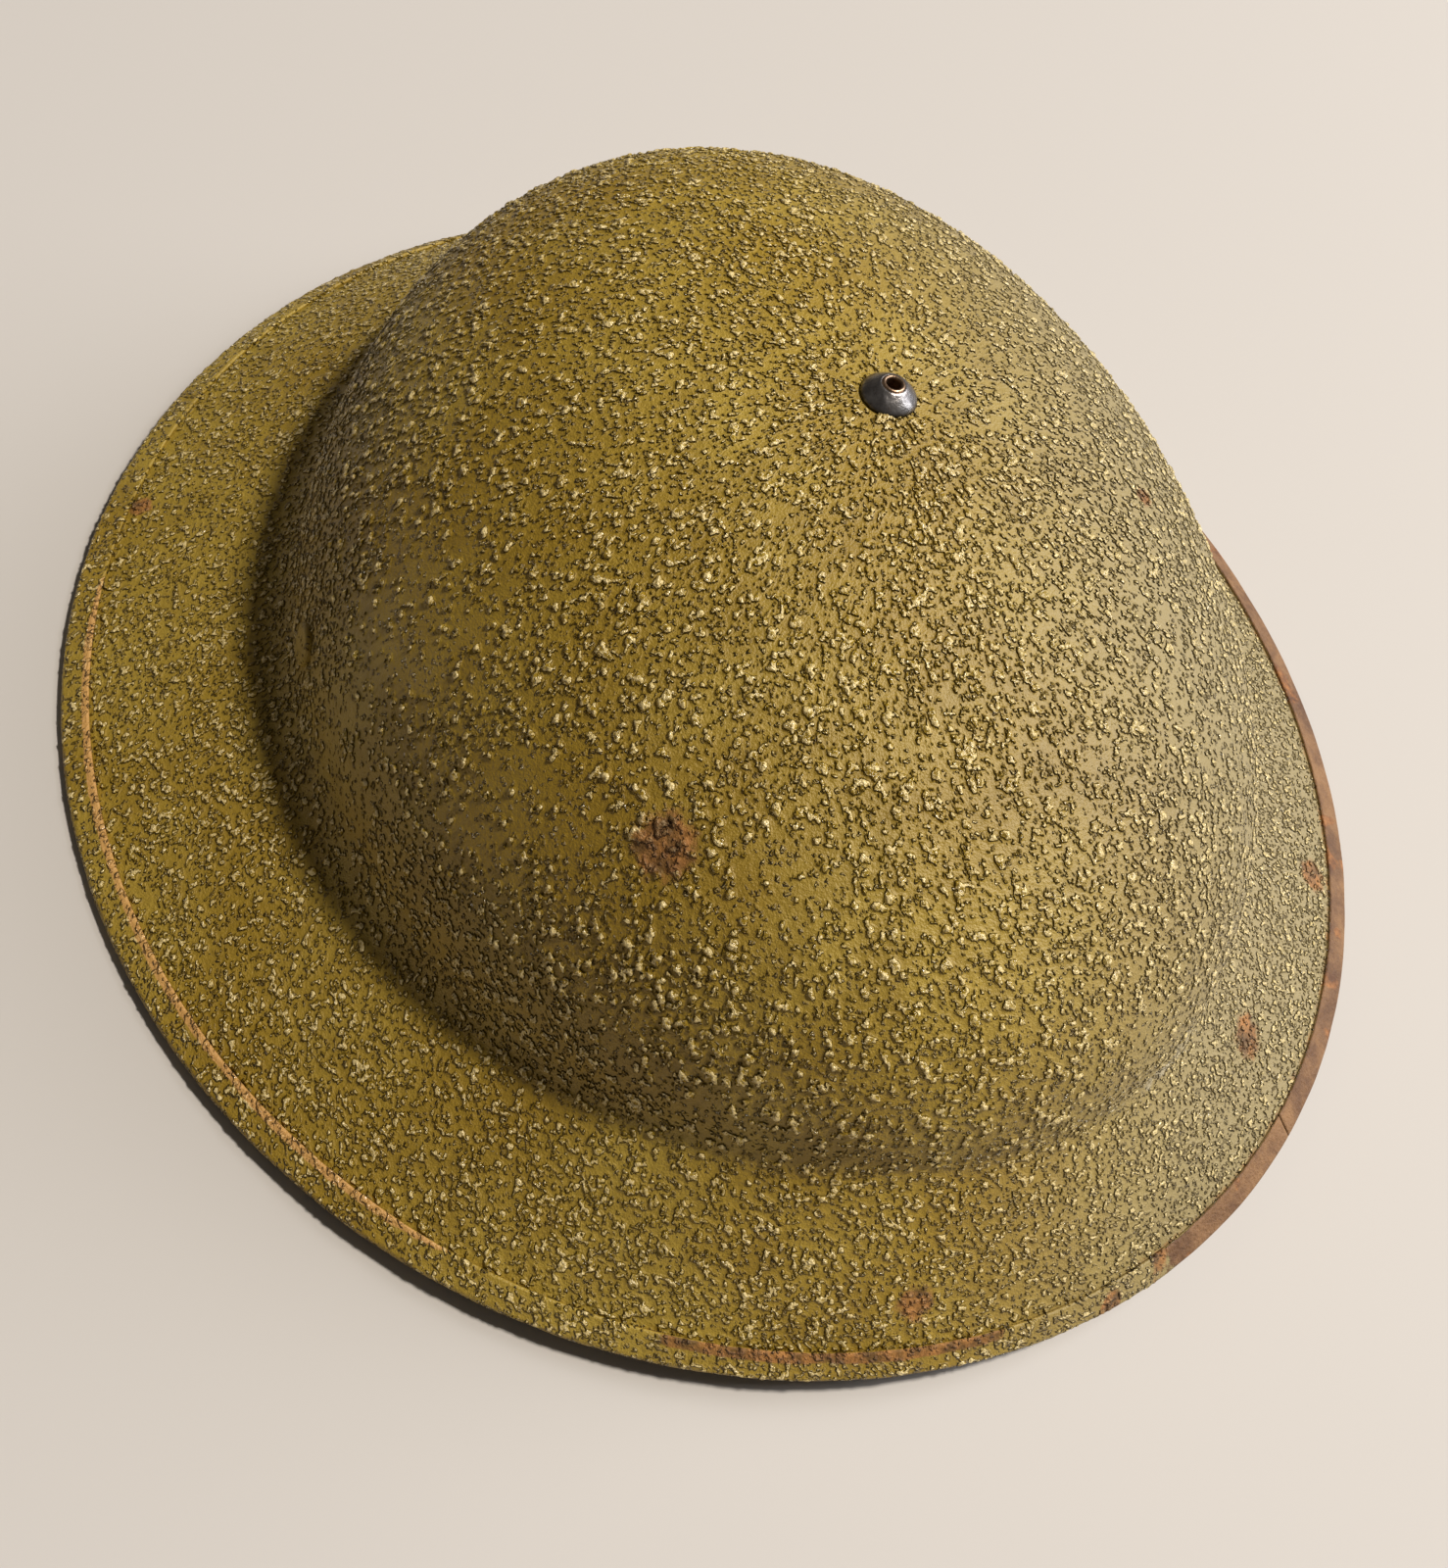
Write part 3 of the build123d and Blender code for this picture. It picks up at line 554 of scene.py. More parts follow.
linen_thread = cloth("linen_thread", rgb(0.4, 0.34, 0.23), rgb(0.56, 0.49, 0.35), 3200.0, 0.2)
hose_rubber = old_rubber("hose_rubber", rgb(0.05, 0.037, 0.03), rgb(0.13, 0.1, 0.08))


# Shell
def oval_reach(turn, wide, long):
    return 1 / np.sqrt((np.cos(turn) / wide) ** 2 + (np.sin(turn) / long) ** 2)


def crease_point(turn):
    reach = oval_reach(turn, bowl_wide, bowl_long)
    endward = reach * np.sin(turn) / bowl_long
    return np.array((reach, nose_radius + crease_height + crease_end_rise * endward**2))


def edge_point(turn):
    a = (np.cos(turn) / edge_wide) ** 2 + (np.sin(turn) / edge_long) ** 2
    b = 2 * bowl_setback * np.sin(turn) / edge_long**2
    c = (bowl_setback / edge_long) ** 2 - 1
    reach = (-b + np.sqrt(b * b - 4 * a * c)) / (2 * a)
    endward = (bowl_setback + reach * np.sin(turn)) / edge_long
    return np.array((reach, nose_radius + brim_end_rise * endward**2))


def brim_directions(turn):
    """Unit vectors down along the brim, and square to it on its upper side."""
    along = unit(edge_point(turn) - crease_point(turn))
    return along, np.array((-along[1], along[0]))


def section_line(turn):
    """Middle of the sheet from the crown to the brim edge, as distance out and height."""
    reach, crease_z = crease_point(turn)
    rise = crown_height - crease_z
    along, _ = brim_directions(turn)
    bend = radians(90) + atan2(along[1], along[0])
    leg = crease_radius * tan(bend / 2)
    last = pi / 2 - asin(leg / rise)
    angles = np.linspace(asin(tube_bore / reach), last, 160)
    dome = np.stack([reach * np.sin(angles), crease_z + rise * np.cos(angles)], axis=-1)
    down = unit(np.array((reach * cos(last), -rise * sin(last))))
    handle = 4 / 3 * tan(bend / 4) * crease_radius
    end = np.array((reach, crease_z)) + leg * along
    share = np.linspace(0, 1, 30)[1:, None]
    corners = (dome[-1], dome[-1] + handle * down, end - handle * along, end)
    weights = ((1 - share) ** 3, 3 * share * (1 - share) ** 2, 3 * share**2 * (1 - share), share**3)
    curve = sum(weight * corner for weight, corner in zip(weights, corners))
    straight = end + np.linspace(0, 1, 40)[1:, None] * (edge_point(turn) - end)
    return np.vstack([dome, curve, straight])


def shell_grid(rows, columns, depth):
    """A grid over the shell at a depth below its middle, and each point's distance from the brim edge."""
    grid, to_edge = np.zeros((rows, columns, 3)), np.zeros((rows, columns))
    for column, turn in enumerate(full_turn(columns)):
        line = section_line(turn)
        run = unit(np.gradient(line, axis=0))
        moved = line - depth * np.stack([-run[:, 1], run[:, 0]], axis=-1)
        marks = run_marks(moved)
        wanted = np.linspace(0, marks[-1], rows)
        out, up = (np.interp(wanted, marks, moved[:, axis]) for axis in range(2))
        grid[:, column] = round_place(out, turn, up)
        to_edge[:, column] = marks[-1] - wanted
    return grid, to_edge


def turn_of(points):
    """Turn round the bowl's axis in degrees, from 0 to 360."""
    return np.degrees(np.arctan2(points[..., 1] - bowl_setback, points[..., 0])) % 360


# Marks on the paint: where each is, and its radius
rust_marks = (
    (53.9, 76.9, 76.7, 7.5),
    (-81.0, 104.7, 19.6, 6.5),
    (-123.7, 63.9, 7.6, 5.5),
    (8.6, 145.4, 18.0, 5.0),
    (-55.0, 18.4, 91.6, 3.0),
    (128.6, -60.4, 5.6, 3.5),
    (-98.0, 113.0, 9.0, 4.0),
)
smooth_marks = (
    (36.6, 88.1, 79.2, 12.0),
    (92.0, 20.0, 72.0, 26.0),
    (80.0, 60.0, 70.0, 18.0),
    (102.0, 30.0, 40.0, 20.0),
)
clump_size, clump_height, fine_share = 1.7, 0.8, 0.58
brim_start, brim_full = 48, 30
strip_soft_before, strip_soft_after, waviness = 0.4, 0.5, 0.12
crease_from_edge, crease_band_width, dirt_width = 44, 7, 1.6
worn_crease_turns, dirty_edge_turns, bare_strip_turns = (108, 172, 14), (108, 200, 8), (112, 199, 5)


def clump_field(points, brim_share):
    """Height of the paint's crumbs from 0 to 1; they are closer together on the brim."""
    broad = clouds(points, 17.0, 5)
    share = 0.4 + 0.4 * broad + 0.15 * brim_share
    share = share * (1 - 0.75 * fade(spots(points, smooth_marks), 0.15, 0.8))
    coarse = crumbs(points, clump_size, share, 20) * (1 - 0.45 * brim_share)
    fine = crumbs(points, clump_size * fine_share, share, 40) * (0.6 + 0.2 * brim_share)
    return np.maximum(coarse, fine)


def shell_side(rows, columns, depth, outward, height):
    """One face of the shell with its crumbs, and its marks."""
    grid, to_edge = shell_grid(rows, columns, depth)
    normals = outward * grid_normals(grid, False, True)
    brim_share = 1 - fade(to_edge, brim_full, brim_start)
    strip_start = strip_leg - strip_soft_before
    clump = clump_field(grid, brim_share) * fade(to_edge, strip_start, strip_leg + strip_soft_after)
    rough = clouds(grid, 9.0, 77) - 0.5
    free = fade(to_edge, strip_start, strip_leg + 2.0)
    grid = grid + normals * (clump * height + rough * waviness * free)[..., None]
    crease_band = np.exp(-(((to_edge - crease_from_edge) / crease_band_width) ** 2))
    crease_band = crease_band * window(turn_of(grid), *worn_crease_turns)
    wear = 0.5 * crease_band * (0.6 + 0.8 * clouds(grid, 6.0, 78))
    edge_dirt = np.exp(-(((to_edge - strip_leg) / dirt_width) ** 2))
    edge_dirt = edge_dirt * window(turn_of(grid), *dirty_edge_turns)
    rust = np.maximum(spots(grid, rust_marks), 0.55 * edge_dirt)
    return grid, {"clump": clump, "wear": wear, "rust": rust, "bare": np.zeros_like(rust)}


outside, outside_marks = shell_side(400, 1700, -sheet / 2, 1, clump_height)
inside, inside_marks = shell_side(200, 850, sheet / 2, -1, 0.5 * clump_height)
inside = inside[:, ::-1]
inside_marks = {name: values[:, ::-1] for name, values in inside_marks.items()}
shell_marks = {name: (outside_marks[name], inside_marks[name]) for name in outside_marks}
shell_sides = [(outside, False, True), (inside, False, True)]
shell_skin = grid_object("shell_skin", shell_sides, shell_paint, shell_marks)
settle(shell_skin, ["shell"])


# Rim strip, folded round the brim edge, with its butt joint
def level_points(first, last, up, count):
    return np.stack([np.linspace(first, last, count), np.full(count, up)], axis=-1)


strip_outside = [
    level_points(-strip_leg, -0.4, nose_radius, 9),
    arc_points(nose_radius, 90, -90, 13),
    level_points(-0.4, -strip_leg, -nose_radius, 9),
]
strip_hidden = [
    level_points(-strip_leg, -0.4, -strip_inside, 4),
    arc_points(strip_inside, -90, 90, 7),
    level_points(-0.4, -strip_leg, strip_inside, 4),
]
strip_section = np.vstack(strip_outside + strip_hidden)
top_points, lip_width, strip_crumbs, dent_depth, lip_wear = 12, 1.35, 0.4, 0.25, 1.8
joint_half = np.degrees(strip_joint_gap / 2 / edge_point(radians(strip_joint_turn))[0])
first_turn, last_turn = strip_joint_turn + joint_half, strip_joint_turn + 360 - joint_half
strip_turns = np.radians(np.linspace(first_turn, last_turn, 1500))
strip = np.zeros((len(strip_section), len(strip_turns), 3))
for column, turn in enumerate(strip_turns):
    edge = edge_point(turn)
    along, square = brim_directions(turn)
    places = edge + strip_section[:, :1] * along + strip_section[:, 1:] * square
    strip[:, column] = round_place(places[:, 0], turn, places[:, 1])
strip_turn = turn_of(strip)
outer_rows = np.zeros(len(strip_section))
outer_rows[: sum(len(part) for part in strip_outside)] = 1
on_top = np.zeros(len(strip_section))
on_top[:top_points] = 1
lip_near = np.exp(-(((strip_section[:, 0] + strip_leg) / lip_width) ** 2)) * on_top
bare_patches = clouds(strip, 14.0, 91)
bare = window(strip_turn, *bare_strip_turns) * (0.75 + 0.5 * bare_patches) * outer_rows[:, None]
bare = np.maximum(bare, 0.75 * fade(bare_patches, 0.62, 0.8) * (1 - on_top)[:, None])
band_part = window(strip_section[:, 0], -strip_leg, -strip_leg + 1.6, 1.4) * on_top
rust_band = window(strip_turn, 69, 93, 2) * band_part[:, None] * (0.7 + 0.5 * clouds(strip, 5.0, 92))
rust_patches = fade(clouds(strip, 6.0, 93), 0.6, 0.85) * window(strip_turn, 95, 200, 8) * 0.8
left_lip = fade(strip_turn, 335, 352) + (1 - fade(strip_turn, 44, 56))
strip_wear = lip_near[:, None] * np.clip(left_lip, 0, 1) * (0.55 + 0.8 * clouds(strip, 11.0, 94))
strip_clump = clump_field(strip, 1.0) * (1 - np.clip(bare * 1.1, 0, 1)) * (1 - rust_band * 0.5)
strip_clump = strip_clump * outer_rows[:, None]
strip_normals = grid_normals(strip, True, False)
dents = (clouds(strip, 7.0, 95) - 0.5) * dent_depth
lift = (strip_clump * strip_crumbs * on_top[:, None] + np.minimum(dents, 0.05)) * outer_rows[:, None]
strip = strip + strip_normals * lift[..., None]
strip_marks = {
    "clump": (strip_clump,),
    "bare": (np.clip(bare, 0, 1),),
    "rust": (np.maximum(rust_band, rust_patches),),
    "wear": (np.clip(strip_wear, 0, 1) * lip_wear,),
}
rim_fold = close_ends(grid_object("rim_fold", [(strip, True, False)], rim_paint, strip_marks))
settle(rim_fold, ["rim_strip"])


# Crown rivet and its cap
def turned(name, profile, material, columns=96, rough=0.0):
    """A piece turned round the bowl's axis from its closed profile of radius and height."""
    profile = np.array(profile)
    grid = round_place(profile[:, :1], full_turn(columns), profile[:, 1:])
    grid = grid + (clouds(grid, 1.3, 61)[..., None] - 0.5) * rough
    return close_ends(grid_object(name, [(grid, True, True)], material))


cap_head, cap_inset = crown_outside + cap_height, cap_radius - cap_top_radius
cap_profile = [(cap_radius - 0.1, crown_outside), (cap_radius, crown_outside + 0.12)]
for share in np.linspace(0, 1, 12):
    up = cap_lip + (cap_height - cap_lip) * share**cap_curve
    cap_profile.append((cap_radius - cap_inset * share, crown_outside + up))
cap_profile += [(tube_radius + 0.3, cap_head + 0.05), (tube_radius + 0.05, crown_outside + cap_neck)]
for share in np.linspace(1, 0, 6):
    cap_profile.append((cap_radius - cap_sheet - cap_inset * share, crown_outside + cap_hollow * share))
cap_dish = turned("cap_dish", cap_profile, cap_metal, rough=0.08)
settle(cap_dish, ["crown_cap"])

washer_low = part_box("crown_washer")[0].z / MM
rivet_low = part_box("crown_rivet")[0].z / MM
roll_middle, roll = (tube_bore + roll_radius) / 2, (roll_radius - tube_bore) / 2
roll_turn = [
    (roll_middle + roll * cos(angle), cap_head + roll_height / 2 - roll + roll * sin(angle))
    for angle in np.radians(np.linspace(-60, 180, 12))
]
clench_turn = [
    (tube_bore + 0.2, rivet_low),
    (2.9, rivet_low + 0.05),
    (3.4, rivet_low + 0.35),
    (3.3, washer_low - 0.02),
    (tube_radius, washer_low),
]
tube_roll = turned("tube_roll", [*roll_turn, (tube_bore, washer_low), *clench_turn], tube_metal, 72, 0.05)
settle(tube_roll, ["crown_rivet"])


# Felt pad and leather patch at the crown
def crown_disc(name, radius, top, thickness, material, ragged):
    """A soft disc round the crown rivet, under a surface given by top(distance, turn)."""
    turns = full_turn(120)
    inner = tube_radius + crown_fit
    edge = np.stack([np.cos(turns), np.sin(turns), 0 * turns], axis=-1) * radius
    rows = []
    for first, last, sink in ((inner, radius, 0), (radius, inner, thickness)):
        for out in np.linspace(first, last, 14):
            reach = out * (1 - ragged * clouds(edge, 6.0, 33) * (out / radius))
            height = np.array([top(distance, turn) for distance, turn in zip(reach, turns)]) - sink
            rows.append(round_place(reach, turns, height))
    return close_ends(grid_object(name, [(np.stack(rows), True, True)], material))


def shell_under(distance, turn):
    reach, crease_z = crease_point(turn)
    rise = crown_height - crease_z
    return crease_z + rise * sqrt(1 - (distance / reach) ** 2) - sheet / 2 - crown_fit


def cradle_height(x, y):
    """Outside of the cradle's dome over a place, or its edge's height past the head band."""
    inside = 1 - (x / cradle_wide) ** 2 - ((y - bowl_setback) / cradle_long) ** 2
    return band_top + cradle_rise * np.sqrt(np.maximum(inside, 0))


def below_cradle(depth):
    """A surface at a depth under the cradle's outside."""

    def top(distance, turn):
        x, y = distance * cos(turn), bowl_setback + distance * sin(turn)
        return cradle_height(x, y) - depth

    return top


felt_pad = crown_disc("felt_pad", felt_radius, shell_under, felt_thickness, felt_wool, 0.05)
settle(felt_pad, ["crown_felt"])
patch_top = below_cradle(cradle_cloth + crown_fit)
patch = crown_disc("leather_patch", patch_radius, patch_top, patch_thickness, patch_leather, 0.03)
settle(patch, ["crown_patch"])


# Liner cradle, three oilcloth straps that cross under the crown
strap_cloth, lap_share, straps_depth, disc_thickness = 0.3, 0.28, 0.92, 0.27


def cradle_strap(number):
    """One strap, each a layer below the last, and its outer surface before it wrinkles."""
    direction = radians(60 * number)
    forward = np.array((cos(direction), sin(direction)))
    across = np.array((-sin(direction), cos(direction)))
    rows = []
    for share in np.linspace(-1 - lap_share, 1 + lap_share, 121):
        way = 1 if share > 0 else -1
        reach = oval_reach(direction, cradle_wide, cradle_long)
        angle = min(abs(share), 1) * pi / 2
        drop = max(abs(share) - 1, 0) / lap_share * cradle_lap
        row = []
        for side in np.linspace(-1, 1, 13):
            place = way * reach * sin(angle) * forward + side * cradle_strap_width / 2 * across
            spread = sqrt((place[0] / cradle_wide) ** 2 + (place[1] / cradle_long) ** 2)
            place = place / max(spread, 1)
            height = band_top + cradle_rise * sqrt(max(1 - min(spread, 1) ** 2, 0)) - drop
            row.append((place[0], bowl_setback + place[1], height))
        rows.append(row)
    outer = np.array(rows)
    normals = grid_normals(outer, False, False)
    sidewards = np.sum(outer * normals, axis=-1, keepdims=True)
    normals = normals * np.sign(normals[..., 2:] + sidewards * 0.3 / 80)
    sink = strap_cloth * (number + 0.02)
    wrinkle = (clouds(outer, 7.0, 50 + number)[..., None] - 0.5) * 0.25
    top = outer - normals * (sink + np.abs(wrinkle))
    bottom = top - normals * strap_cloth * 0.9
    closed = np.concatenate([top, bottom[:, ::-1]], axis=1)
    made = grid_object(f"cradle_strap_{number + 1}", [(closed, False, True)], black_oilcloth)
    return close_ends(made), outer


for number in range(3):
    made, outer = cradle_strap(number)
    settle(made, ["liner_cradle"])
    run = run_marks(outer[:, 6])[-1] * MM


disc_top = below_cradle(straps_depth)
cradle_disc = crown_disc("cradle_disc", cradle_disc_radius, disc_top, disc_thickness, black_oilcloth, 0.02)
settle(cradle_disc, ["liner_cradle"])


# Head band with its stitching
def oval_band(name, wide, long, thickness, bottom, height, material, wave, columns=420):
    """An upright oval band with rolled edges; wide and long are its outer half sizes."""
    turns = full_turn(columns)
    half = thickness / 2
    low, high = bottom + half, bottom + height - half
    rolls = np.linspace(0.5, pi - 0.5, 5)
    section = [(0, up) for up in np.linspace(low, high, 14)]
    section += [(half - half * cos(angle), high + half * sin(angle)) for angle in rolls]
    section += [(thickness, up) for up in np.linspace(high, low, 14)]
    section += [(half + half * cos(angle), low - half * sin(angle)) for angle in rolls]
    grid = np.stack([oval_place(turns, wide - depth, long - depth, z) for depth, z in section])
    outward = np.stack([np.cos(turns), np.sin(turns), 0 * turns], axis=-1)[None]
    grid = grid - outward * (clouds(grid, 16.0, 70) * wave)[..., None]
    return close_ends(grid_object(name, [(grid, True, True)], material))


def stitch_row(wide, long, z, pitch, length):
    """Stitches round an oval, each a short thread standing a little proud in its middle."""
    half = length / (wide + long)
    lines = []
    for turn in full_turn(int(pi * (wide + long) / pitch)):
        lines.append([oval_place(turn + step * half, wide, long, z) for step in (-1, -0.5, 0.5, 1)])
    return lines


band_form = (band_wide, band_long, band_thickness, band_bottom, band_height)
head_band = oval_band("oilcloth_band", *band_form, black_oilcloth, 0.25)
settle(head_band, ["head_band"])
band_stitches = []
for depth in (-0.1, band_thickness + 0.1):
    for height in (3.0, band_height - 3.0):
        band_stitches += stitch_row(band_wide - depth, band_long - depth, band_bottom + height, 4.4, 3.0)
stitching = tubes("band_stitching", band_stitches, 0.3, linen_thread, sides=1)
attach(stitching, "helmet")

# Net of knotted twine over the head, and the lace that gathers it
net_wide, net_long = band_wide - band_thickness - soft_gap, band_long - band_thickness - soft_gap
net_rows, net_columns, net_sag, twine_radius, knot_radius = 8, 40, 0.25, 0.55, 0.75


def net_place(row, column):
    """A knot of the net; row 0 is sewn to the band, the last row holds the lace."""
    turn = 2 * pi * (column + (row % 2) / 2) / net_columns
    if row == 0:
        return oval_place(turn, net_wide - 0.6, net_long - 0.6, band_top - net_lap + 1)
    reach = oval_reach(turn, net_wide, net_long)
    last = asin(net_opening / reach)
    angle = pi / 2 + (last - pi / 2) * (row - 1) / (net_rows - 1)
    out, up = reach * sin(angle), net_rise * cos(angle) - 0.6
    return round_place(out, turn, band_top + up)


net_lines, net_knots = [], []
for row in range(net_rows + 1):
    for column in range(net_columns):
        here = net_place(row, column)
        if row < net_rows:
            for side in (0, 1 if row % 2 else -1):
                there = net_place(row + 1, column + side)
                net_lines.append([here, (here + there) / 2 - (0, 0, net_sag), there])
        if 0 < row:
            tangent = unit(np.cross((0, 0, 1), here - (0, bowl_setback, 0)))
            inward = unit(np.array((0, bowl_setback, here[2] - 40)) - here)
            rise = np.cross(tangent, inward)
            flat, steep = tangent * 1.1 + rise * 0.5, rise - tangent * 0.9
            net_knots.append([here - flat, here + inward * 0.5, here + flat])
            net_knots.append([here - steep, here - inward * 0.3, here + steep])
net_mesh = tubes("net_twine", net_lines, twine_radius, cotton_twine, sides=1)
settle(net_mesh, ["string_net"])
knots = tubes("net_knots", net_knots, knot_radius, cotton_twine, sides=1)
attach(knots, "helmet")

lace_ring = net_opening - lace_radius - soft_gap
lace_z = (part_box("draw_lace")[0].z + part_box("draw_lace")[1].z) / 2 / MM
lace_twists, strand_away, strand_radius = 34, 0.6, 0.68
lace_lines = []
for strand in range(2):
    line = []
    for turn in full_turn(400):
        twist = lace_twists * turn + strand * pi
        out = lace_ring + strand_away * cos(twist)
        line.append(round_place(out, turn, lace_z + strand_away * sin(twist)))
    lace_lines.append(line)
lace = tubes("twisted_lace", lace_lines, strand_radius, cotton_lace, closed=True)
settle(lace, ["draw_lace"])
whip_radius, whip_thread, whip_pitch = 1.45, 0.42, 0.9
whipping = []
for wrap in range(-4, 5):
    turn = radians(-90) + wrap * whip_pitch / lace_ring
    ring = []
    for angle in full_turn(12):
        out = lace_ring + whip_radius * cos(angle)
        ring.append(round_place(out, turn, lace_z + whip_radius * sin(angle)))
    whipping.append(ring)
whipped = tubes("lace_whipping", whipping, whip_thread, linen_thread, closed=True, sides=1)
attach(whipped, "helmet")


# Rubber tubes and their tape
def rubber_tube(number):
    turn = radians(360 * (number + 0.5) / buffers)
    reach = oval_reach(turn, cradle_wide, cradle_long)
    x, y = reach * cos(turn), reach * sin(turn)
    outward = unit(np.array((x / cradle_wide**2, y / cradle_long**2, 0)))
    upward = np.array((0, 0, 1.0))
    axis = np.cross(outward, upward)
    middle = np.array((x, y + bowl_setback, buffer_height)) + outward * (buffer_gap + buffer_radius)
    half = buffer_length / 2
    reach, rounded, inner = half - end_round, buffer_radius - end_round, buffer_bore + bore_round
    profile = [(place, buffer_radius) for place in np.linspace(-reach, reach, 12)]
    profile += [(half, rounded), (half, inner)]
    profile += [(place, buffer_bore) for place in np.linspace(reach, -reach, 8)]
    profile += [(-half, inner), (-half, rounded)]
    angles = full_turn(48)
    round_way = np.cos(angles)[:, None] * outward + np.sin(angles)[:, None] * upward
    grid = np.stack([middle + place * axis + out * round_way for place, out in profile])
    grid = grid - np.stack([round_way * (0.25 * clouds(row, 4.0, number)[:, None]) for row in grid])
    made = close_ends(grid_object(f"rubber_tube_{number + 1:02d}", [(grid, True, True)], hose_rubber))
    settle(made, [f"buffer_{number + 1:02d}"])


for number in range(buffers):
    rubber_tube(number)
tube_bulge = (buffer_length / 2) ** 2 * cradle_long / (2 * cradle_wide**2)
tape_wide = cradle_wide + 2 * buffer_radius + buffer_gap + tape_slack + tape_thickness
tape_long = tape_wide - cradle_wide + cradle_long + tube_bulge
tape_bottom = buffer_height - tape_height / 2
tape_form = (tape_wide, tape_long, tape_thickness, tape_bottom, tape_height)
tape = oval_band("cotton_band", *tape_form, cotton_tape, 0.3, 720)
settle(tape, ["buffer_tape"])


# Chin strap
def strap_place(x, y, up):
    """A point of the strap's plane, up along the strap's width."""
    back = np.array((0, cos(strap_tilt), -sin(strap_tilt)))
    across = np.array((0, sin(strap_tilt), cos(strap_tilt)))
    return np.array((x, 0, pivot_height)) + y * back + up * across


def strap_route(layer, past_middle):
    """The left half's line in the strap's plane, from its tail round the eye to its end."""
    eye_x, eye_y = low_bar
    rear = strap_reach + layer * (strap_thickness + strap_layer_gap) / 2
    start, corner = np.array((eye_x + layer * eye_radius, eye_y)), np.array((strap_corner, rear))
    along = unit(corner - start)
    inward = np.array((-along[1], along[0]))
    tail = layer * inward * (strap_thickness + strap_layer_gap)
    around = (180, 360) if layer > 0 else (360, 180)
    eye = np.array(low_bar) + arc_points(eye_radius, *around, 13)
    turn = pi / 2 - atan2(-along[0], along[1])
    leg = strap_corner_radius * tan(turn / 2)
    middle = corner - along * leg + inward * strap_corner_radius
    steps = np.linspace(0, turn, 24)
    bend = [middle - strap_corner_radius * (cos(step) * inward - sin(step) * along) for step in steps]
    ends = [start + along * eye_tail + tail, start + along * eye_tail_join + tail]
    return np.vstack([ends, eye, bend, [(-past_middle, rear)]])


def strap_section():
    """Half thickness and place across the strap, going round it: soft edges and a creased line."""
    half, wide = strap_thickness / 2, strap_width / 2
    side = []
    for place in np.linspace(-wide + 0.5, wide - 0.5, 31):
        from_crease = (abs(place) - wide + crease_inset) / crease_width
        side.append((1.0 - crease_depth * np.exp(-(from_crease**2)), place))
    side += [(0.72, wide - 0.14), (0.25, wide), (-0.25, wide), (-0.72, wide - 0.14)]
    side += [(-thick, -place) for thick, place in side]
    return [(half * thick, place) for thick, place in side]


def strap_piece(name, node_name, side, layer, past_middle):
    line, marks = even_line(strap_route(layer, past_middle), 1.2)
    run = unit(np.gradient(line, axis=0))
    to_end = marks[-1] - marks
    section = strap_section()
    rows = []
    for (x, y), (run_x, run_y), left in zip(line, run, to_end):
        tip = sqrt(max(1 - (1 - min(left / tip_length, 1)) ** 2, 0.02))
        for thick, place in section:
            rows.append(strap_place(side * (x - run_y * thick), y + run_x * thick, place * tip))
    grid = np.reshape(rows, (len(line), len(section), 3))
    grid = grid + (clouds(grid, 12.0, 55) - 0.5)[..., None] * 0.12
    made = close_ends(grid_object(name, [(grid, False, True)], strap_leather))
    settle(made, [node_name], "chin_strap")


strap_piece("leather_short", "strap_short", 1, -1, short_end)
strap_piece("leather_long", "strap_long", -1, 1, long_end)

# Keeper, a leather loop sewn round both halves
both_halves = 2 * strap_thickness + strap_layer_gap + 2 * sleeve_gap
half_deep, half_wide = both_halves / 2 + keeper_sheet / 2, strap_width / 2 + sleeve_gap + keeper_sheet / 2
loop_turns, corner_power = full_turn(72), 0.28
loop_ways = np.stack([np.cos(loop_turns), np.sin(loop_turns)], axis=-1)
loop = np.array((half_deep, half_wide)) * np.sign(loop_ways) * np.abs(loop_ways) ** corner_power
loop_run = np.roll(loop, -1, axis=0) - np.roll(loop, 1, axis=0)
loop_out = unit(np.stack([loop_run[:, 1], -loop_run[:, 0]], axis=-1))
keeper_edge = [(-1, -0.6), (-0.85, -1), (0, -1), (0.85, -1), (1, -0.6)]
keeper_edge += [(-x, -y) for x, y in keeper_edge]
keeper_section = [(keeper_length / 2 * x, keeper_sheet / 2 * y) for x, y in keeper_edge]
keeper_points = []
for (deep, wide), (out_deep, out_wide) in zip(loop, loop_out):
    for x, y in keeper_section:
        away = strap_reach + deep + y * out_deep
        keeper_points.append(strap_place(keeper_place + x, away, wide + y * out_wide))
keeper_grid = np.reshape(keeper_points, (len(loop), len(keeper_section), 3))
keeper = grid_object("leather_keeper", [(keeper_grid, True, True)], strap_leather)
settle(close_ends(keeper), ["keeper"], "chin_strap")

# Solids whose own shape is shown take a material
for material, names in (
    (tube_metal, ("crown_washer",)),
    (lug_paint, ("lug_rivet_left", "lug_rivet_right", "lug_washer_left", "lug_washer_right")),
    (lug_paint, ("lug_left", "lug_right")),
    (wire_metal, ("bail_left", "bail_right")),
    (brass, ("buckle", "strap_rivet_left", "strap_rivet_right")),
):
    for name in names:
        nodes[name].data.materials.clear()
        nodes[name].data.materials.append(material)

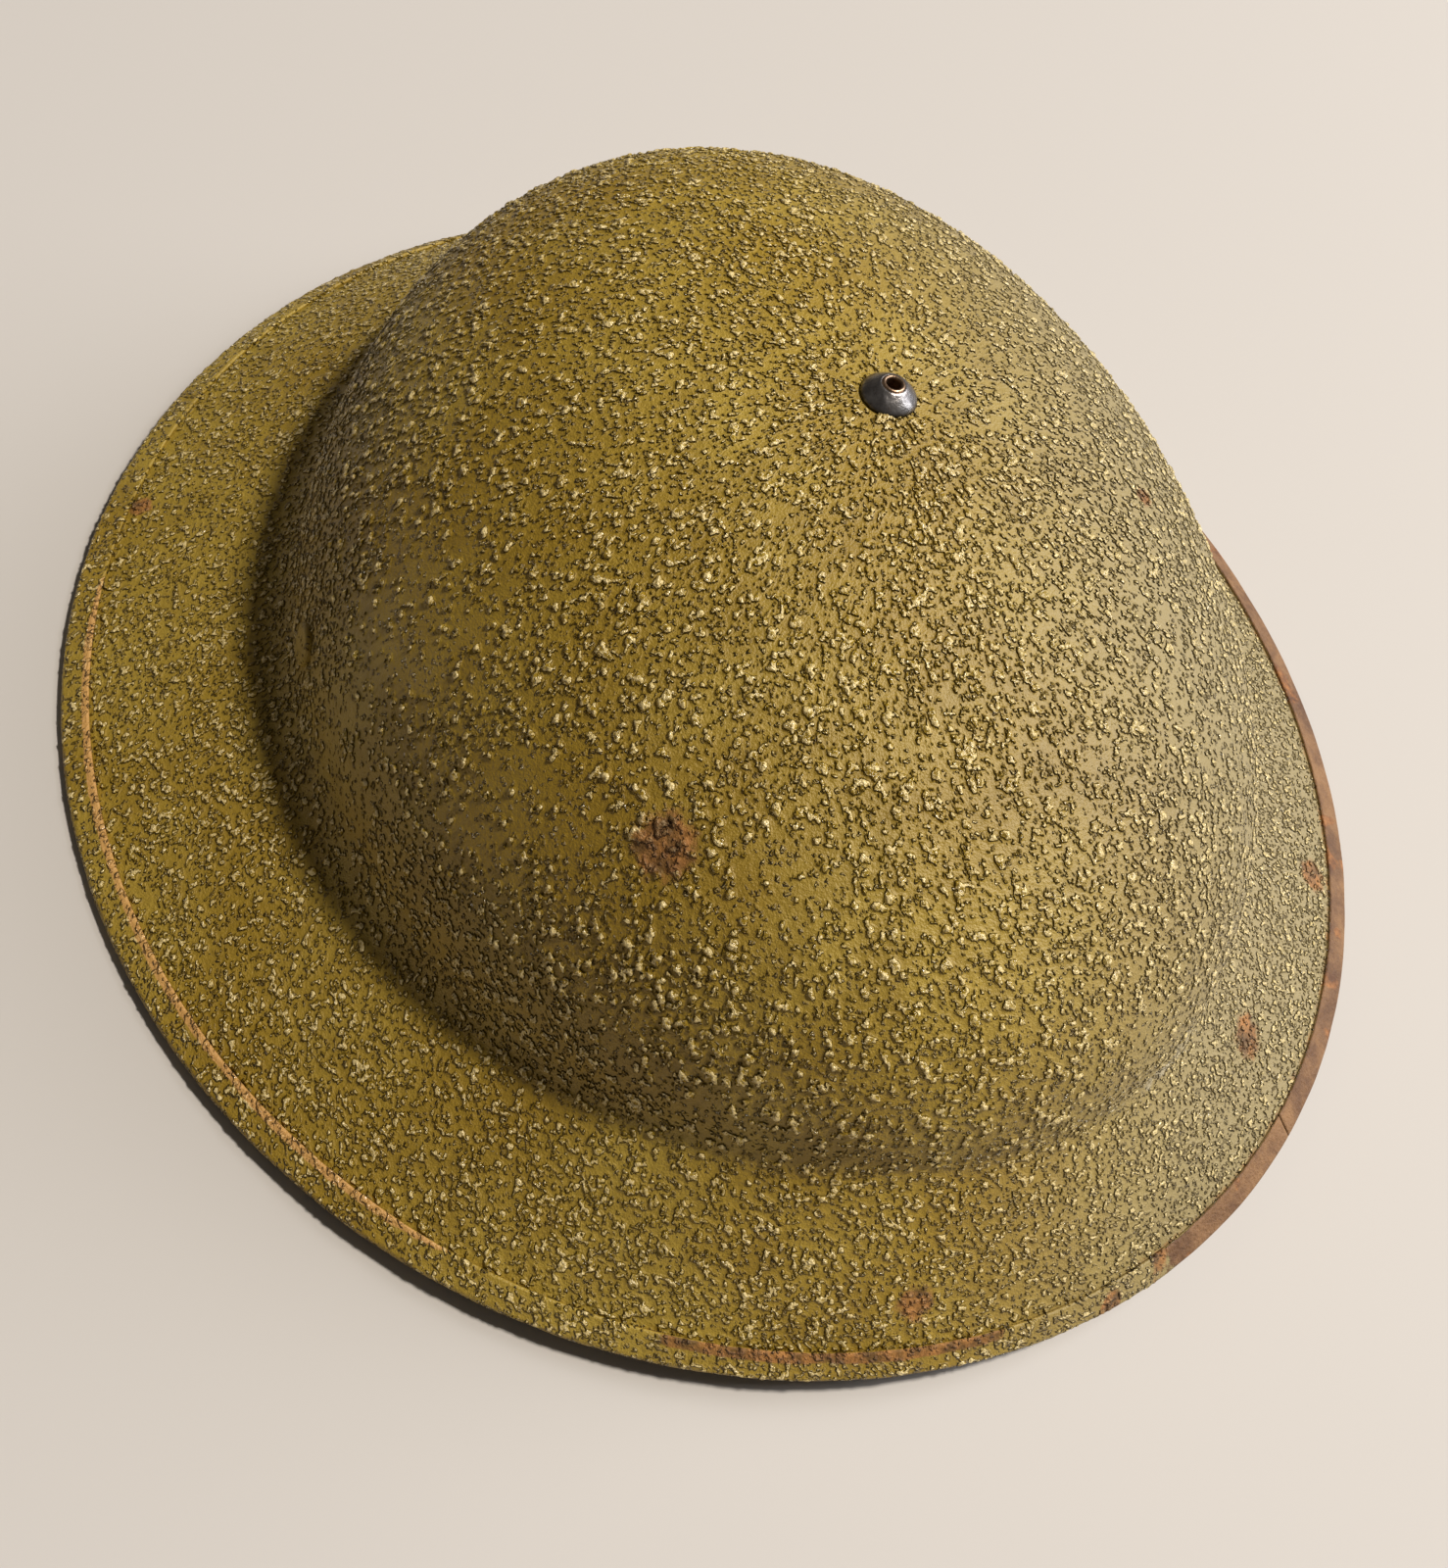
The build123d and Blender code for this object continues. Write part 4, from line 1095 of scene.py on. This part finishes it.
# Floor, light and camera
floor_half, floor_height = 3, -0.0003
floor_material = new_material("floor", Base_Color=rgb(0.565, 0.515, 0.46), Roughness=0.75)[0]
floor_mesh = bpy.data.meshes.new("floor")
floor_ways = ((-1, -1), (1, -1), (1, 1), (-1, 1))
floor_corners = [(floor_half * x, floor_half * y, floor_height) for x, y in floor_ways]
floor_mesh.from_pydata(floor_corners, [], [(0, 1, 2, 3)])
floor = finish_object("floor", floor_mesh, floor_material)

world = bpy.data.worlds.new("room")
bpy.context.scene.world = world
world.use_nodes = True
room_tree = world.node_tree
room_light = node(room_tree, "Background", Color=rgb(1.0, 0.95, 0.88), Strength=0.08).outputs[0]
seen_wall = node(room_tree, "Background", Color=rgb(0.7, 0.64, 0.57), Strength=1.0).outputs[0]
seen = node(room_tree, "LightPath").outputs["Is Camera Ray"]
room = node(room_tree, "MixShader", i0=seen, i1=room_light, i2=seen_wall).outputs[0]
room_tree.links.new(room, room_tree.nodes["World Output"].inputs["Surface"])


lit_place = (0, 0, 0.05)


def area_light(name, place, size, power, colour):
    """A square lamp that faces the middle of the helmet."""
    lamp = bpy.data.lights.new(name, "AREA")
    lamp.size, lamp.energy, lamp.color = size, power, colour
    made = bpy.data.objects.new(name, lamp)
    made.location = place
    made.rotation_mode = "QUATERNION"
    made.rotation_quaternion = (Vector(lit_place) - Vector(place)).to_track_quat("-Z", "Y")
    bpy.context.scene.collection.objects.link(made)


area_light("window", (-3.6, -0.1, 2.7), 3.0, 144.0, (0.95, 1.0, 1.1))
area_light("ceiling_lamp", (-1.5, 0.3, 3.25), 0.4, 120.0, (1.0, 0.96, 0.9))

camera = bpy.data.cameras.new("camera")
camera.lens, camera.sensor_width = camera_lens, 36.0
camera.clip_start, camera.clip_end = 0.01, 20.0
camera_object = bpy.data.objects.new("camera", camera)
axes = Matrix((camera_right, camera_up, camera_back)).transposed().to_4x4()
camera_object.matrix_world = Matrix.Translation(camera_place) @ axes
bpy.context.scene.collection.objects.link(camera_object)
bpy.context.scene.camera = camera_object
bpy.context.scene.view_settings.view_transform = "Standard"
